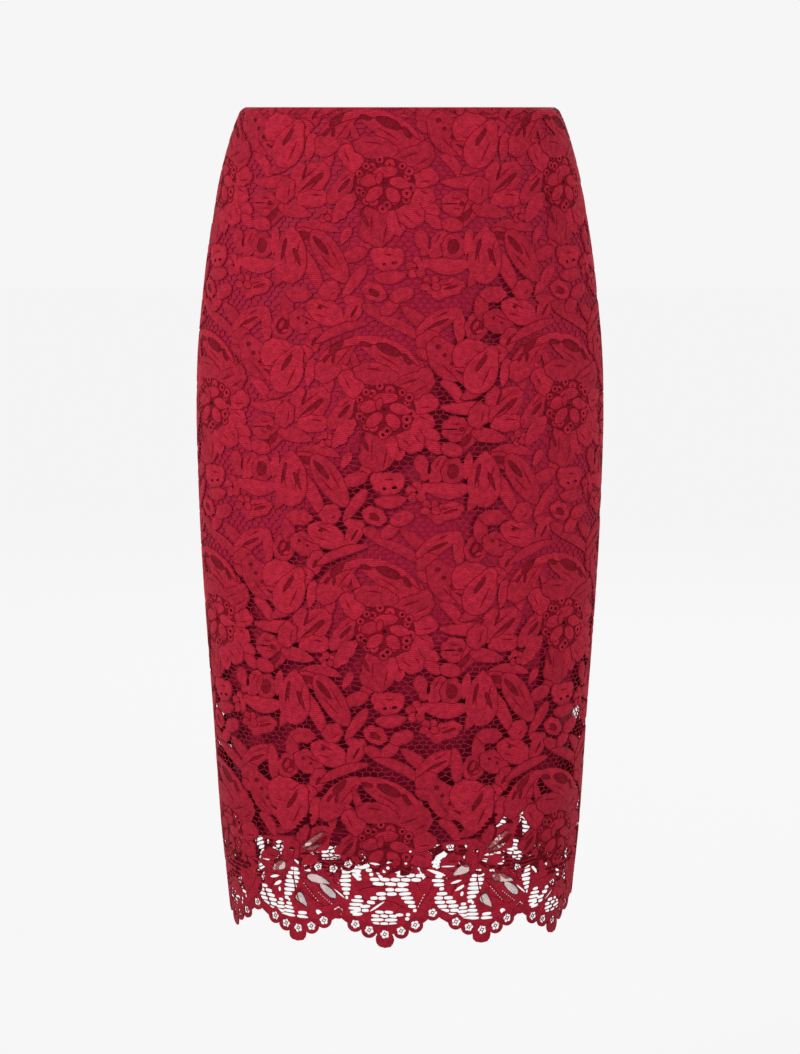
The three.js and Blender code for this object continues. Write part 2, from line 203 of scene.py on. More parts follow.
def eased(x, levels, values):
    """A smooth curve through a row of values, level by level."""
    rise = np.gradient(values, levels)
    index = np.clip(np.searchsorted(levels, x) - 1, 0, len(levels) - 2)
    step = levels[index + 1] - levels[index]
    t = (x - levels[index]) / step
    low, high = values[index], values[index + 1]
    bend_low, bend_high = rise[index] * step, rise[index + 1] * step
    inside = (low * (1 + 2 * t) * (1 - t) ** 2 + bend_low * t * (1 - t) ** 2
              + high * t ** 2 * (3 - 2 * t) + bend_high * t ** 2 * (t - 1))
    return np.where(t > 1, high + bend_high * (t - 1), np.where(t < 0, low + bend_low * t, inside))


def sizes_at(z):
    """The form's half width, depth to the front and depth to the back at some levels."""
    return [eased(z, LEVELS, row) for row in FORM]


def smooth_step(x, low, high):
    """From 0 below low to 1 above high, with no corner."""
    t = np.clip((x - low) / (high - low), 0, 1)
    return t * t * (3 - 2 * t)


def on_form(angle, z, out):
    """A point of the skirt at an angle and level, moved out from the face of the lace."""
    across, front, back = sizes_at(z)
    turn = np.radians(angle)
    depth = np.where(np.cos(turn) > 0, front, back)
    x, y = across * np.sin(turn), -depth * np.cos(turn)
    normal = np.stack([x / across ** 2, y / depth ** 2], 1)
    normal /= np.linalg.norm(normal, axis=1)[:, None]
    return np.stack([x + out * normal[:, 0], y + out * normal[:, 1], z], 1)


def hollows(angle, z):
    """How deep the lining's hollows are; each is deepest along a short line."""
    depth = np.zeros_like(z)
    for from_angle, from_z, to_angle, to_z, deep, reach in HOLLOWS:
        start = np.array([math.radians(from_angle) * MEAN_RADIUS, from_z])
        along = np.array([math.radians(to_angle) * MEAN_RADIUS, to_z]) - start
        offset = np.stack([np.radians(angle) * MEAN_RADIUS, z], 1) - start
        share = np.clip(offset @ along / (along @ along), 0, 1)
        away = np.linalg.norm(offset - share[:, None] * along, axis=1)
        depth += deep * np.exp(-(away / reach) ** 2) * (0.55 + 0.45 * np.sin(math.pi * share))
    return depth


def folds(angle, z):
    """How far the skirt's soft folds stand out, or in below zero."""
    out = np.zeros_like(z)
    for at, height, reach, top in FOLDS:
        away = (angle - at + 180) % 360 - 180
        out += height * np.exp(-(away / reach) ** 2) * smooth_step(-z, top, FOLDS_FULL)
    return out


def lining_out(angle, z):
    """How far the lining's face is from the face of the lace; it is negative, as it lies inside."""
    loose = LOOSE_BY * smooth_step(-z, *LOOSE)
    by_zip = OVER_TAPE * smooth_step(np.abs(angle), *TAPE_SIDES) * (1 - smooth_step(-z, *TAPE_FOOT))
    return folds(angle, z) - CLOSE_INSET - loose - by_zip - hollows(angle, z)


def flat_sheet(columns, rows):
    """A flat grid, ready to be laid on the form, and its points' x and y, from -1 to 1."""
    bpy.ops.object.select_all(action="DESELECT")
    bpy.ops.mesh.primitive_grid_add(x_subdivisions=columns, y_subdivisions=rows, size=2)
    sheet = bpy.context.object
    grid = np.empty(len(sheet.data.vertices) * 3)
    sheet.data.vertices.foreach_get("co", grid)
    x, y, _ = grid.reshape(-1, 3).T
    return sheet, x, y


def lay_sheet(sheet, points, thickness, sharp):
    """Lays a flat sheet on its points and thickens it; edges sharper than some degrees show."""
    sheet.data.vertices.foreach_set("co", points.ravel())
    wall = sheet.modifiers.new("cloth", "SOLIDIFY")
    wall.thickness = thickness
    bpy.ops.object.modifier_apply(modifier=wall.name)
    bpy.ops.object.shade_smooth_by_angle(angle=math.radians(sharp))


def added(material, kind, inputs=()):
    """A new node of a material, with its inputs fed."""
    node = material.node_tree.nodes.new("ShaderNode" + kind)
    feed(node, dict(inputs))
    return node


def blended(material, share, low, high, blend="MIX"):
    """One colour laid over another."""
    mix = added(material, "Mix")
    mix.data_type = "RGBA"
    mix.blend_type = blend
    feed(mix, {"Factor": share, "A": low, "B": high})
    return mix.outputs["Result"]


def toned(material, share, colour, tones):
    """A colour that goes from a darker to a lighter tone of itself."""
    ends = [tuple(tone * part for part in colour[:3]) + (1,) for tone in tones]
    return blended(material, share, *ends)


def noise(material, scale, **inputs):
    """Noise over the object's own place."""
    inputs["Vector"] = added(material, "TexCoord").outputs["Object"]
    return added(material, "TexNoise", {"Scale": scale, **inputs}).outputs["Fac"]


def bumped(material, height, strength, distance, **under):
    """A normal that follows a height, over another normal where one is given."""
    raised = {"Height": height, "Strength": strength, "Distance": distance, **under}
    return added(material, "Bump", raised).outputs["Normal"]


# raspberry satin: a very fine warp, and cloudy changes of shade
satin, satin_shader = new_material("lining_satin", LINING_COLOUR, 0.55, 0.06)
feed(satin_shader, {
    "Base Color": toned(satin, noise(satin, LINING_CLOUDS), LINING_COLOUR, LINING_TONES),
    "Normal": bumped(satin, noise(satin, SATIN_THREADS), 0.15, 0.0003)})
lining_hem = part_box("lining_front")[0][2]
zip_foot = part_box("zip_tape_left")[0][2]

for name, start, end, columns, flat in LINING_PANELS:
    panel, x, y = flat_sheet(columns, LINING_ROWS)
    across, down = (x + 1) / 2, (1 - y) / 2
    middle = start + (end - start) * across
    near = smooth_step(middle, NOTCH["near_foot"], NOTCH["apex"])
    far = 1 - smooth_step(middle, NOTCH["apex"], NOTCH["far_foot"])
    z = down * (lining_hem + NOTCH["rise"] * np.minimum(near, far))
    slot = np.where(z > zip_foot, ZIP_SLOT, 0)
    gaps = [np.degrees(np.where(abs(edge) == 180, slot, 0) / MEAN_RADIUS) for edge in (start, end)]
    angle = (start + gaps[0]) + (end - gaps[1] - start - gaps[0]) * across
    lay_sheet(panel, on_form(angle, z, lining_out(angle, z)), LINING_THICKNESS, LINING_SHARP)
    panel.name = name + "_satin"
    panel.data.materials.append(satin)
    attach(panel, "skirt")
    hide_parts(name)

# ---------------------------------------------------------------------------------------------
# The zip. An invisible coil zip down the centre back: two woven tapes sewn between lace and
# lining, a nylon coil folded to their wrong side, three stops, and a lacquered metal slider with
# a drop-shaped pull tab that swings on it.
# ---------------------------------------------------------------------------------------------
TAPE_GRID = (6, 90)              # columns and rows of a tape's mesh
TAPE_SHARP = 40
TAPE_INSET = 0.00150             # from the face of the lace to the face of the tape
TAPE_THICKNESS = 0.0006
TAPE_SEAM = 0.0100               # the tapes are sewn down this far from the centre back
TAPE_RED = (0.215, 0.0045, 0.0150, 1)
TAPE_TONES = (0.85, 1.15)
HERRINGBONE = 420                # scale of the tapes' weave
COIL_INSET = 0.00345             # from the face of the lace to the middle of the coil
COIL_ASIDE = 0.0007              # its two rows of turns are this far from the centre back
TOOTH_PITCH = 0.00125
TOOTH_LOOP = 0.00105             # radius of one turn of the coil
COIL_THREAD = 0.00030
STITCH = {"length": 0.0022, "step": 0.0034, "thickness": 0.00018}
SEWN_FROM = -0.006               # level of the first stitch beside the zip
SEWN_SHORT = 0.003               # the last is this far above the zip's foot
HEM_TURNING = 0.014              # the lining's hem is sewn this far above its edge,
HEM_STITCHED = ((-179, 24), (75, 179))   # between these angles, to either side of the notch,
HEM_STEP = 1.45                  # with a stitch at each of these steps, in degrees
WORN_EDGE = {"width": 0.00012, "segments": 2, "sharper_than": 35}
# finishes: name, colour, roughness, metallic, specular level, scale of the specks, their contrast
FINISHES = (
    ("sewing_thread", (0.245, 0.0055, 0.0190, 1), 0.7, 0, 0.12, 2500, 0.15),
    ("coil_nylon", (0.200, 0.0055, 0.0165, 1), 0.45, 0, 0.3, 900, 0.1),
    ("lacquered_metal", (0.200, 0.0045, 0.0125, 1), 0.3, 0.12, 0.4, 700, 0.08),
)


def beside_zip(x, z, out):
    """A point x to the wearer's left of the centre back."""
    across = sizes_at(z)[0]
    return on_form(180 - np.degrees(np.arcsin(x / across)), z, out)


def striped(material, direction, inputs):
    """Fine parallel bands."""
    bands = added(material, "TexWave", inputs)
    bands.bands_direction = direction
    return bands.outputs["Fac"]


def speckled(name, colour, roughness, metallic, gloss, scale, contrast):
    """A moulded, spun or lacquered finish whose shade and gloss vary a little."""
    material, shader = new_material(name, colour, roughness, gloss)
    specks = noise(material, scale)
    polish = added(material, "MapRange", {
        "Value": specks, "To Min": roughness * 0.85, "To Max": min(1, roughness * 1.15)})
    feed(shader, {
        "Base Color": toned(material, specks, colour, (1 - contrast, 1 + contrast)),
        "Roughness": polish.outputs["Result"], "Metallic": metallic})
    return material


def stations(path):
    """A row of points but the last, each with its axes: side, out and along."""
    made = []
    for here, there in zip(path, path[1:]):
        along = (there - here) / np.linalg.norm(there - here)
        out = np.array([here[0], here[1], 0.0])
        out -= along * (out @ along)
        out /= np.linalg.norm(out)
        made.append((here, (np.cross(out, along), out, along)))
    return made


def joined(name, mesh, places):
    """Copies of one small mesh, each at a place: a point and the three directions of its axes."""
    size = len(mesh.vertices)
    own = np.array([tuple(v.co) for v in mesh.vertices])
    faces = [tuple(p.vertices) for p in mesh.polygons]
    points = np.concatenate([place + own @ np.array(axes) for place, axes in places])
    corners = [tuple(v + copy * size for v in face) for copy in range(len(places)) for face in faces]
    made = bpy.data.meshes.new(name)
    made.from_pydata(points.tolist(), [], corners)
    for face in made.polygons:
        face.use_smooth = True
    piece = bpy.data.objects.new(name, made)
    scene.collection.objects.link(piece)
    return piece


# polyester zip tape: a fine herringbone
tape, tape_shader = new_material("zip_tape_weave", TAPE_RED, 0.8, 0.08)
tape_ribs = striped(tape, "DIAGONAL", {
    "Scale": HERRINGBONE, "Distortion": 0.6, "Vector": added(tape, "TexCoord").outputs["Object"]})
feed(tape_shader, {"Base Color": toned(tape, tape_ribs, TAPE_RED, TAPE_TONES),
                   "Normal": bumped(tape, tape_ribs, 0.4, 0.0001)})
thread, nylon, lacquer = [speckled(*row) for row in FINISHES]

for name, side in (("zip_tape_left", 1), ("zip_tape_right", -1)):
    low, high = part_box(name)
    near, far = sorted((abs(low[0]), abs(high[0])))
    strip, x, y = flat_sheet(*TAPE_GRID)
    aside = side * (near + (far - near) * (1 - side * x) / 2)
    z = low[2] + (high[2] - low[2]) * (y + 1) / 2
    points = beside_zip(aside, z, folds(np.full_like(z, 180.0), z) - TAPE_INSET)
    lay_sheet(strip, points, TAPE_THICKNESS, TAPE_SHARP)
    strip.name = name + "_weave"
    strip.data.materials.append(tape)
    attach(strip, "skirt")
    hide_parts(name)

# one turn of the coil, and its copies down both tapes
coil_low, coil_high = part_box("zip_coil")
bpy.ops.mesh.primitive_torus_add(major_radius=TOOTH_LOOP, minor_radius=COIL_THREAD,
                                 major_segments=10, minor_segments=5)
turn = bpy.context.object
places = []
for side in (-1, 1):
    z = np.arange(coil_high[2] - (0 if side > 0 else TOOTH_PITCH / 2), coil_low[2], -TOOTH_PITCH)
    places += stations(beside_zip(np.full_like(z, side * COIL_ASIDE), z, -COIL_INSET))
coil = joined("zip_coil_turns", turn.data, places)
bpy.data.objects.remove(turn)
coil.data.materials.append(nylon)
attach(coil, "skirt")
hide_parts("zip_coil")

# one stitch, and its copies down the tapes' far edges and round the lining's hem
bpy.ops.mesh.primitive_uv_sphere_add(segments=6, ring_count=4, radius=0.5)
stitch = bpy.context.object
stitch.scale = (2 * STITCH["thickness"], 2 * STITCH["thickness"], STITCH["length"])
bpy.ops.object.transform_apply(location=False, rotation=False, scale=True)
places = []
for side in (-1, 1):
    z = np.arange(SEWN_FROM, zip_foot + SEWN_SHORT, -STITCH["step"])
    out = -CLOSE_INSET - OVER_TAPE - LINING_THICKNESS
    places += stations(beside_zip(np.full_like(z, side * TAPE_SEAM), z, out))
for start, end in HEM_STITCHED:
    angle = np.arange(start, end, HEM_STEP)
    z = np.full_like(angle, lining_hem + HEM_TURNING)
    places += stations(on_form(angle, z, lining_out(angle, z)))
stitches = joined("lining_stitches", stitch.data, places)
bpy.data.objects.remove(stitch)
stitches.data.materials.append(thread)
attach(stitches, "skirt")

for name in ("zip_slider", "zip_pull_tab", "zip_top_stop_left", "zip_top_stop_right", "zip_bottom_stop"):
    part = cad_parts[name]
    part.data.materials.clear()
    part.data.materials.append(lacquer)
    edge = part.modifiers.new("worn_edges", "BEVEL")
    edge.width = WORN_EDGE["width"]
    edge.segments = WORN_EDGE["segments"]
    edge.limit_method = "ANGLE"
    edge.angle_limit = math.radians(WORN_EDGE["sharper_than"])
    for face in part.data.polygons:
        face.use_smooth = False

# ---------------------------------------------------------------------------------------------
# The lace. Stretch corded lace in red, with a hexagonal net, close clothwork flowers and leaves,
# thinner half-tone centres and a scalloped edge that is the hem. It is cut as one front and two
# backs, worked here as one repeat of the pattern and one repeat of the border.
# ---------------------------------------------------------------------------------------------
# the chart is in millimetres
REPEAT = (158.0, 184.5)          # width and length of the pattern's repeat
BORDER_FOOT = -96.0              # the border repeat reaches this far below its flower
FIRST_COLUMN = -12.5             # from the centre front to the nearest column of flowers
FIRST_ROW = -62.5                # level of the top row of flowers
ROWS = 4                         # the last of them is the border's
THREAD = 0.5                     # width of the net's threads
LADDER_PITCH = 3.5               # of the rungs in the border's openings
RUNG = 0.4                       # their width
LADDER_CELL = 9.5                # the cells between them are about this wide
CELL_ENDS = 0.3                  # and their ends are this pointed
GROOVE_WIDTH = 0.85              # width of the sloping edge round each motif, painted darker as shade
FLUSH_EVERY = 5                  # one motif in so many runs into its neighbours without a groove
CELL_WIDTH = REPEAT[0] / 25      # the net's holes are this wide where there is room for many,
CELL_ROWS = 48                   # this many rows of them fill a repeat,
CELL_JITTER = 0.45               # their middles wander by this much,
CELL_WIDENING = 1.45             # and each is drawn out across by this share
SEED_REACH = 17                  # only nearer holes share a thread with one
NEAR_REPEAT = 12                 # holes this far outside a repeat still reach into it
FILL_STEP = 6.5                  # largest spacing of points inside a motif
BACK_STEP = 2.4 * FILL_STEP      # and on the wrong side
SCALLOP_LENGTH = 9.5             # of the scallops round petals
SCALLOP_DEPTH = 1.5
SCALLOPED_FROM = 17              # motifs longer and wider than about this have them
VEIN = 1.5                       # width of the grooves between ribs, painted dark as shade
VEINED_FROM = 13                 # motifs wider than this have them,
TWO_VEINS_FROM = 19              # and two where wider than this
GRAIN = 0.3                      # reach of a motif's own number, either way
HOLE, NET, CLOTH, HALF, GROOVE, EDGE, SHEER, FLUSH = range(8)

# the pattern's repeat, about its big flower. Each motif is what it is made of and its lobes, and
# each lobe is its x, y, length, width and angle, then how pointed its tail and tip are (0.5 is
# round and 1 pointed), how far it bends, in degrees, and its number of steps
PATTERN = (
    # leaf cluster to the left of the arch
    (CLOTH, (-80, 84, 22, 11, 88)), (CLOTH, (-66, 72, 26, 19, -20), (-58, 66, 16, 12, -60)),
    (HALF, (-70, 75, 3.4, 3.2, 0)), (HALF, (-63, 71, 3.2, 3, 0)),
    (CLOTH, (-48, 80, 32, 20, -25, .6), (-38, 73, 14, 11, -50)), (HALF, (-52, 84, 4, 3.4, 0)),
    (CLOTH, (-25, 81, 26, 13, 60, .7)), (HALF, (-24, 81, 12, 2.6, 60)), (CLOTH, (-57, 57, 21, 13, 70)),
    (HALF, (-57, 56, 9, 3, 65)), (CLOTH, (-67, 45, 18, 13, 20)), (HALF, (-65, 46, 3.2, 3, 0)),
    (CLOTH, (-79, 32, 40, 26, 62, .5, .7), (-72, 44, 16, 13, 80)), (HALF, (-80, 38, 17, 4.4, 55)),
    (CLOTH, (-60, 30, 24, 9, 78, .8)), (CLOTH, (-10, 82, 18, 9, -30, .7)), (CLOTH, (4, 84, 17, 10, 40)),
    # veined leaf and petals to the left of the flower
    (CLOTH, (-60, 3, 40, 23, 40, .8, .7), (-70, 8, 20, 13, 70)), (HALF, (-60, 1, 27, 3.6, 38, 1)),
    (HALF, (-65, 9, 13, 2.8, 72)), (CLOTH, (-58, -12, 28, 14, 3)),
    (CLOTH, (-73, -22, 30, 12, -14, .5, .8)), (CLOTH, (-82, -5, 22, 17, 70)),
    (CLOTH, (-45, 22, 15, 8, 100, .7)),
    # arch of two wings over the flower
    (CLOTH, (-36, 66, 46, 7.5, 22, .7, .7, -35)), (CLOTH, (13, 69, 48, 8, -27, .7, .7, -35)),
    (CLOTH, (25, 76, 28, 10, -38, .7)),
    (CLOTH, (-39, 43, 48, 20, 52, .5, .7, -30), (-50, 34, 22, 12, 75)),
    (CLOTH, (7, 44, 56, 22, -31, .7, .5, -38), (27, 33, 18, 13, -65)),
    (CLOTH, (-12, 58, 94, 6.6, -2, .5, .5, -105, 12)), (HALF, (-38, 52, 18, 7, 45, .5, .8)),
    (HALF, (-47, 42, 9, 3.6, 60)), (HALF, (-41, 42, 9, 3.4, 80)), (HALF, (3, 50, 22, 9, -25, .6)),
    (HALF, (18, 42, 12, 5, -60)), (HALF, (-15, 54, 11, 5, -15)),
    (CLOTH, (-23, 39, 26, 5.5, -72, .8, .8)), (CLOTH, (-29, 31, 17, 5, -50, .8, .8)),
    # sprays to the right of the arch
    (CLOTH, (43, 73, 42, 15, 32, .5, .7, -30)), (HALF, (43, 71, 19, 3.4, 25)),
    (CLOTH, (60, 70, 29, 9.5, 95, .5, .5, 15)), (CLOTH, (34, 58, 20, 13, 35)),
    (CLOTH, (32, 46, 14, 8, -30)), (CLOTH, (74, 68, 22, 19, 75)), (HALF, (74, 68, 14, 11, 75)),
    (CLOTH, (73.5, 69, 8.5, 4, 60)), (CLOTH, (76.5, 64, 5.5, 3.2, 20)),
    (CLOTH, (50, 41, 40, 26, -48, .6), (42, 52, 18, 15, 30)), (HALF, (43, 52, 5, 4.4, 0)),
    (HALF, (48, 45, 4.4, 4, 0)), (HALF, (54, 38, 4, 3.8, 0)),
    (CLOTH, (74, 42, 40, 28, -18, .5, .6), (64, 50, 18, 12, 40)), (HALF, (81, 40, 18, 4, 42)),
    (CLOTH, (66, 27, 29, 13.5, -28, .8)), (HALF, (62, 30, 11, 2.4, -28)),
    (CLOTH, (56, 16, 26, 8, -50, .5, .5, -70)), (CLOTH, (65, 1, 40, 9.5, 2, .7, .5, 22)),
    (CLOTH, (70, 13, 20, 8, 25, .8)),
    # bud with its cup
    (CLOTH, (57, -16, 22, 21, 0)), (HOLE, (53, -16, 12, 1.5, 0)), (HALF, (62, -16, 5, 4.6, 0)),
    (CLOTH, (70, -21, 36, 12, 62, .8, .5, 25)), (HALF, (65, -26, 18, 6.4, 48, .8, .8, 35)),
    (CLOTH, (37, -20, 16, 9, -25, .7)), (CLOTH, (39, -30, 18, 8.5, -33, .7)),
    (CLOTH, (54, -33, 18, 10.5, -12)),
    # winged flower and half daisy under the big flower
    (CLOTH, (30, -46, 17, 11, 105, .8), (33, -53, 11, 8, 60)), (CLOTH, (43, -50, 26, 15, 62, .7)),
    (HOLE, (36, -49, 8, 3, 85)),
    (CLOTH, (3, -61, 24, 18, 4), (-5, -57, 12, 12, 60), (10, -58, 12, 12, -60)),
    (HOLE, (0, -65, 3.6, 2.8, 0)), (HOLE, (8, -64, 5, 2.8, 5)),
    (CLOTH, (5, -76, 26, 10, 4, .8, .8, 30)), (CLOTH, (-11, -46, 28, 10, 38, .8)),
    (CLOTH, (-25, -58, 24, 11, 22, .8)), (CLOTH, (-31, -42, 16, 7, 60, .8)),
    # spray on the right
    (CLOTH, (55, -51, 22, 19, 80)), (HALF, (55, -51, 13, 10, 80)),
    (CLOTH, (50, -67, 40, 12.5, -4, .7, .7, 45)), (CLOTH, (67, -47, 22, 7, 80, .8)),
    (CLOTH, (52, -84, 24, 14, 15), (44, -88, 14, 11, 60)), (HALF, (53, -84, 13, 3, 15)),
    (CLOTH, (73, -74, 22, 9, 60, .8)),
    # lily spray on the left
    (CLOTH, (-56, -34, 42, 9.5, 2, .7, .7, -60)), (CLOTH, (-61, -43, 28, 13, -16, .6, .8)),
    (HALF, (-61, -43, 20, 7, -16, .5, .8)),
    (CLOTH, (-44, -59, 50, 20, -57, .5, .6), (-36, -70, 20, 13, -75)), (HALF, (-51, -50, 20, 5.4, -50)),
    (CLOTH, (-60, -67, 42, 10, -62, .8, .5, -15)),
    (CLOTH, (-77, -58, 46, 28, -92, .7), (-84, -68, 22, 13, -70)), (HALF, (-83, -54, 20, 3.8, 76, .9)),
    (HALF, (-71, -60, 17, 4.4, -68, .5, .8)), (CLOTH, (-24, -79, 32, 8.5, 55, .7)),
    (CLOTH, (-44, -87, 18, 16, 30)), (CLOTH, (-8, -88, 20, 14, -30)), (HALF, (-8, -88, 10, 5.4, -30)),
    (CLOTH, (14, -90, 20, 11, 20)), (CLOTH, (-70, -90, 22, 13, 0)), (CLOTH, (-26, -95, 14, 8, -15)),
    # petals round the big flower
    (CLOTH, (-33, -1, 38, 14, 50)), (HALF, (-32, -1, 15, 4, 50)), (CLOTH, (-33, -19, 30, 12.5, 50)),
    (CLOTH, (-4, -32, 38, 29, -98, .5, .6), (-14, -40, 14, 12, -70)), (HALF, (-16, -27, 16, 4, -65)),
    (CLOTH, (9, -32, 20, 14, -70)), (CLOTH, (21, -24, 24, 21, -50)), (CLOTH, (30, -9, 22, 15, -18)),
    (CLOTH, (31, 6, 25, 18, -3, .5, .7)), (CLOTH, (-25.6, 21, 24, 17, 115), (-31, 26, 14, 11, 60)),
    (CLOTH, (-6, 29, 38, 19, 165, .5, .5, 35)), (CLOTH, (23, 20, 35, 21, 20), (32, 27, 16, 14, 70)),
)
# small daisies: x, y, reach of the petals from the middle, petal length, turn
DAISIES = ((26, -68, 5, 8.4, 90), (37, -82, 4.4, 7.6, 54), (-48, -25, 3.6, 6.4, 30))
# the big flower's eye: its half-tone ground, its petals, and the ring of loops round it
EYE_GROUND = (0, 0, 50, 44, 0)
EYE_PETALS = ((1, 10, 20, 9, 5), (-12, 3, 15, 10, -165), (12, 1, 16, 9, -15),
              (-8, -8, 16, 9, -140), (7, -9, 14, 10, -50), (-4, 5, 10, 5, 80))
EYE_MIDDLE = (0, 0.5, 3, 3, 0)
EYE_LOOPS = 19
EYE_RADII = (23, 20)

# the border's own motifs, below the last row's flower, by what they are
BORDER_TOP = -22
BORDER = (
    # thin half-tone hearts of the leaves over the side scallop
    (SHEER, (64, -20, 15, 8, 25, .9, .4, -20), (-57, -28.5, 21, 7, -15, .5, .9, -15),
     (-49, -38, 18, 6.3, -40, .6), (-71.5, -47.5, 14, 7.4, -50, .25, .9),
     (-62, 5, 25, 4.4, 38, .8, .8), (-61, -1, 14, 3.2, 20, .8, .8)),
    # the furrows between leaves and petals, painted dark as shade
    (GROOVE, (-66, -36, 30, 1.0, -48, 1, 1, -20), (-60, -47, 22, 1.0, -30, 1, 1, 30),
     (-78, -37, 34, 1.0, -78, 1, 1, 25), (57, -38, 24, 1.0, 70, 1, 1, -30),
     (-48, -50, 20, 1.0, 20, 1, 1, 40), (-12, -33.5, 26, 1.0, 10, 1, 1, -30),
     (-20, -44, 18, 1.0, -20, 1, 1, -40), (26, -28, 22, 1.0, -70, 1, 1, 30),
     (8, -47, 26, 1.0, -20, 1, 1, -50), (36, -40, 20, 1.0, 60, 1, 1, 20)),
    # slits and single holes
    (HOLE, (60, -29.5, 10.5, 2.6, 15, .8, .8), (63, -35, 9.5, 3.2, 30, .8),
     (65, -40, 4.4, 3.2, 80), (64, -12.7, 4, 4, 0), (-57, -57, 4.4, 5.8, 60),
     (-76, -15, 12, 2.2, -35, .9), (-69, -7, 10.5, 2.6, 8, .8), (77, -3.5, 4.4, 3.8, 0),
     (-39, -40, 13, 1.7, -40, .8, .8), (-7, -50.5, 16, 2, 35, .7, .7),
     (43, -21, 17, 3, -20, .8, .6), (-9, -13.7, 9.5, 2, -8, .8, .8),
     (4, -11.6, 7.4, 2.6, 30, .8), (-60, -6.3, 9.5, 2.6, 5, .8), (12, -57.5, 7.4, 3.2, 0)),
)
# the border's openings, each a lobe filled with rows of net: ladders, chains and small clusters
OPENER = 1.16                    # the openings are this much larger than charted
LADDERS = (
    # over the side scallop
    (76, -34, 26.5, 11, 70, .6, .35), (74, -58, 20, 11.6, 88, .25, .8),
    (-71.5, -62, 9.5, 9.5, 0, .4, .4), (52, -48.5, 22, 13.5, -45, .4, .4),
    (65.5, -57, 17, 8, 82, .35, .4), (-67, -19.5, 7.4, 5.3, 0, .4, .4),
    (-58, -17.4, 8.4, 4.6, 0, .4, .4), (-47, -12.7, 20, 16, -20, .4, .4),
    (-34, -28.5, 28.5, 9.5, -85, .4, .7), (-26.5, -18.5, 20, 7, -60, .4),
    (-25, -49, 15, 9.5, 60, .4, .4), (-72, 18, 23, 5, 48, .5, .3, -15),
    (-43, 10.5, 18, 6, 62, .8, .35),
    # over the scallop in the middle
    (-20.5, -54, 15, 6.3, 25, .4, .4), (-1, -62, 20, 14.5, 0, .35, .35),
    (-1, -40, 30, 6.3, 22, .5, .5, -30), (19, -43, 25, 8.4, -58, .5, .8),
    (9.5, -28, 42, 8, 6, .5, .4, 20), (46, -30.5, 12.7, 9.5, -60, .3, .9),
    (44, -7, 18, 8.4, 75, .5, .4), (55, -0.5, 10, 6, 5, .4, .4),
    (65.5, -1, 9, 6.3, -10, .4, .4), (-15, -17.4, 15, 4.6, -58), (19, -59, 6.5, 4.2, 75),
)
# rows of tiny holes: from x, y to x, y, and how many
STITCHED = ((-70, -33, -58, -47, 8), (-57, -40, -46, -49, 7),
            (-40, -31, -44, -22, 4), (28, -50, 33, -40, 5))
# each scallop: the middle of its band, the band's length and bend, and the open loops along it
SCALLOPS = (
    (-0.5, -70.5, 86, 86,
     ((-40, -55), (-25.6, -66), (-13.8, -71), (-0.5, -74.5), (13.4, -71.3), (25.4, -66))),
    (-76, -67.5, 84, 78,
     ((-98, -64), (-87, -69), (-75.5, -72), (-63.6, -69.4), (-52.6, -63.8), (-118, -55.6))),
)
SCALLOP_SPAN = REPEAT[0] / 2
BAND = 8.0                       # width of the scalloped band
LUMP = 13.6                      # across the rounded edge round each loop
TAB = (16.0, 13.0)               # the rounded tab at the foot of each scallop,
TAB_DROP = 9                     # and how far below the band's middle it is
LOOP_EYE = {"reach": 2.1, "petal": 3.6, "middle": 4.4}
LOOP_HEART = ((3.4, 3.0), (2.0, 1.6))   # the knot in a loop's middle, and the hole in the knot
# what lies below the band: level of the cut's ends, and how far it sags between them
CUT_EDGE = (-56, 14)
CUT_FOOT = -130
GROUND_TOP = -21                 # the border's close ground reaches up to about here
GROUND_FOOT = -100
FAR_ASIDE = 240                  # further across than anything charted


def lobe(x, y, length, width, angle, tail=0.5, tip=0.5, bend=0.0, steps=None):
    """The outline of a petal, leaf or band, about a spine that may bend."""
    steps = steps or min(max(round(length / 2.1), 4), 18)
    fullest = tail ** tail * tip ** tip / (tail + tip) ** (tail + tip)
    base, turn = math.radians(angle), math.radians(bend)
    left, right = [], []
    for step in range(steps + 1):
        share = (1 - math.cos(math.pi * step / steps)) / 2
        half = width / 2 * share ** tail * (1 - share) ** tip / fullest if 0 < step < steps else 0
        heading = base + turn * (share - 0.5)
        spine = ((share - 0.5) * length * math.cos(base), (share - 0.5) * length * math.sin(base))
        if turn:
            spine = (length / turn * (math.sin(heading) - math.sin(base)),
                     length / turn * (math.cos(base) - math.cos(heading)))
        aside = np.array([-math.sin(heading), math.cos(heading)]) * half
        left.append(np.array([x, y]) + spine + aside)
        right.append(np.array([x, y]) + spine - aside)
    return np.array(left + right[-2:0:-1])


def turning(outline):
    """Above zero where an outline runs anticlockwise."""
    x, y = outline[:, 0], outline[:, 1]
    return np.sum(x * np.roll(y, -1) - y * np.roll(x, -1))


def grown(outline, by):
    """An outline moved out by a little all round."""
    tangent = np.roll(outline, -1, 0) - np.roll(outline, 1, 0)
    normal = np.stack([tangent[:, 1], -tangent[:, 0]], 1)
    normal /= np.maximum(np.linalg.norm(normal, axis=1), 1e-9)[:, None]
    return outline + by * math.copysign(1, turning(outline)) * normal


hand = random.Random(7)


def drawn(*sizes):
    """A lobe's outline with soft scallops and the small unevenness of a woven edge."""
    outline = lobe(*sizes)
    step = np.linalg.norm(outline - np.roll(outline, 1, 0), axis=1)
    waves = round(step.sum() / SCALLOP_LENGTH)
    turn = np.cumsum(step) / step.sum() * math.pi * waves + hand.uniform(0, 3)
    uneven = min(0.35, 0.03 * sizes[3])
    round_ended = len(sizes) < 6 or max(sizes[5:7]) <= 0.5
    large = min(sizes[2], 1.5 * sizes[3]) > SCALLOPED_FROM
    ripple = (SCALLOP_DEPTH if round_ended and large else 0) * (np.abs(np.sin(turn)) - 0.7)
    return grown(outline, (ripple + [hand.uniform(-uneven, uneven) for _ in outline])[:, None])


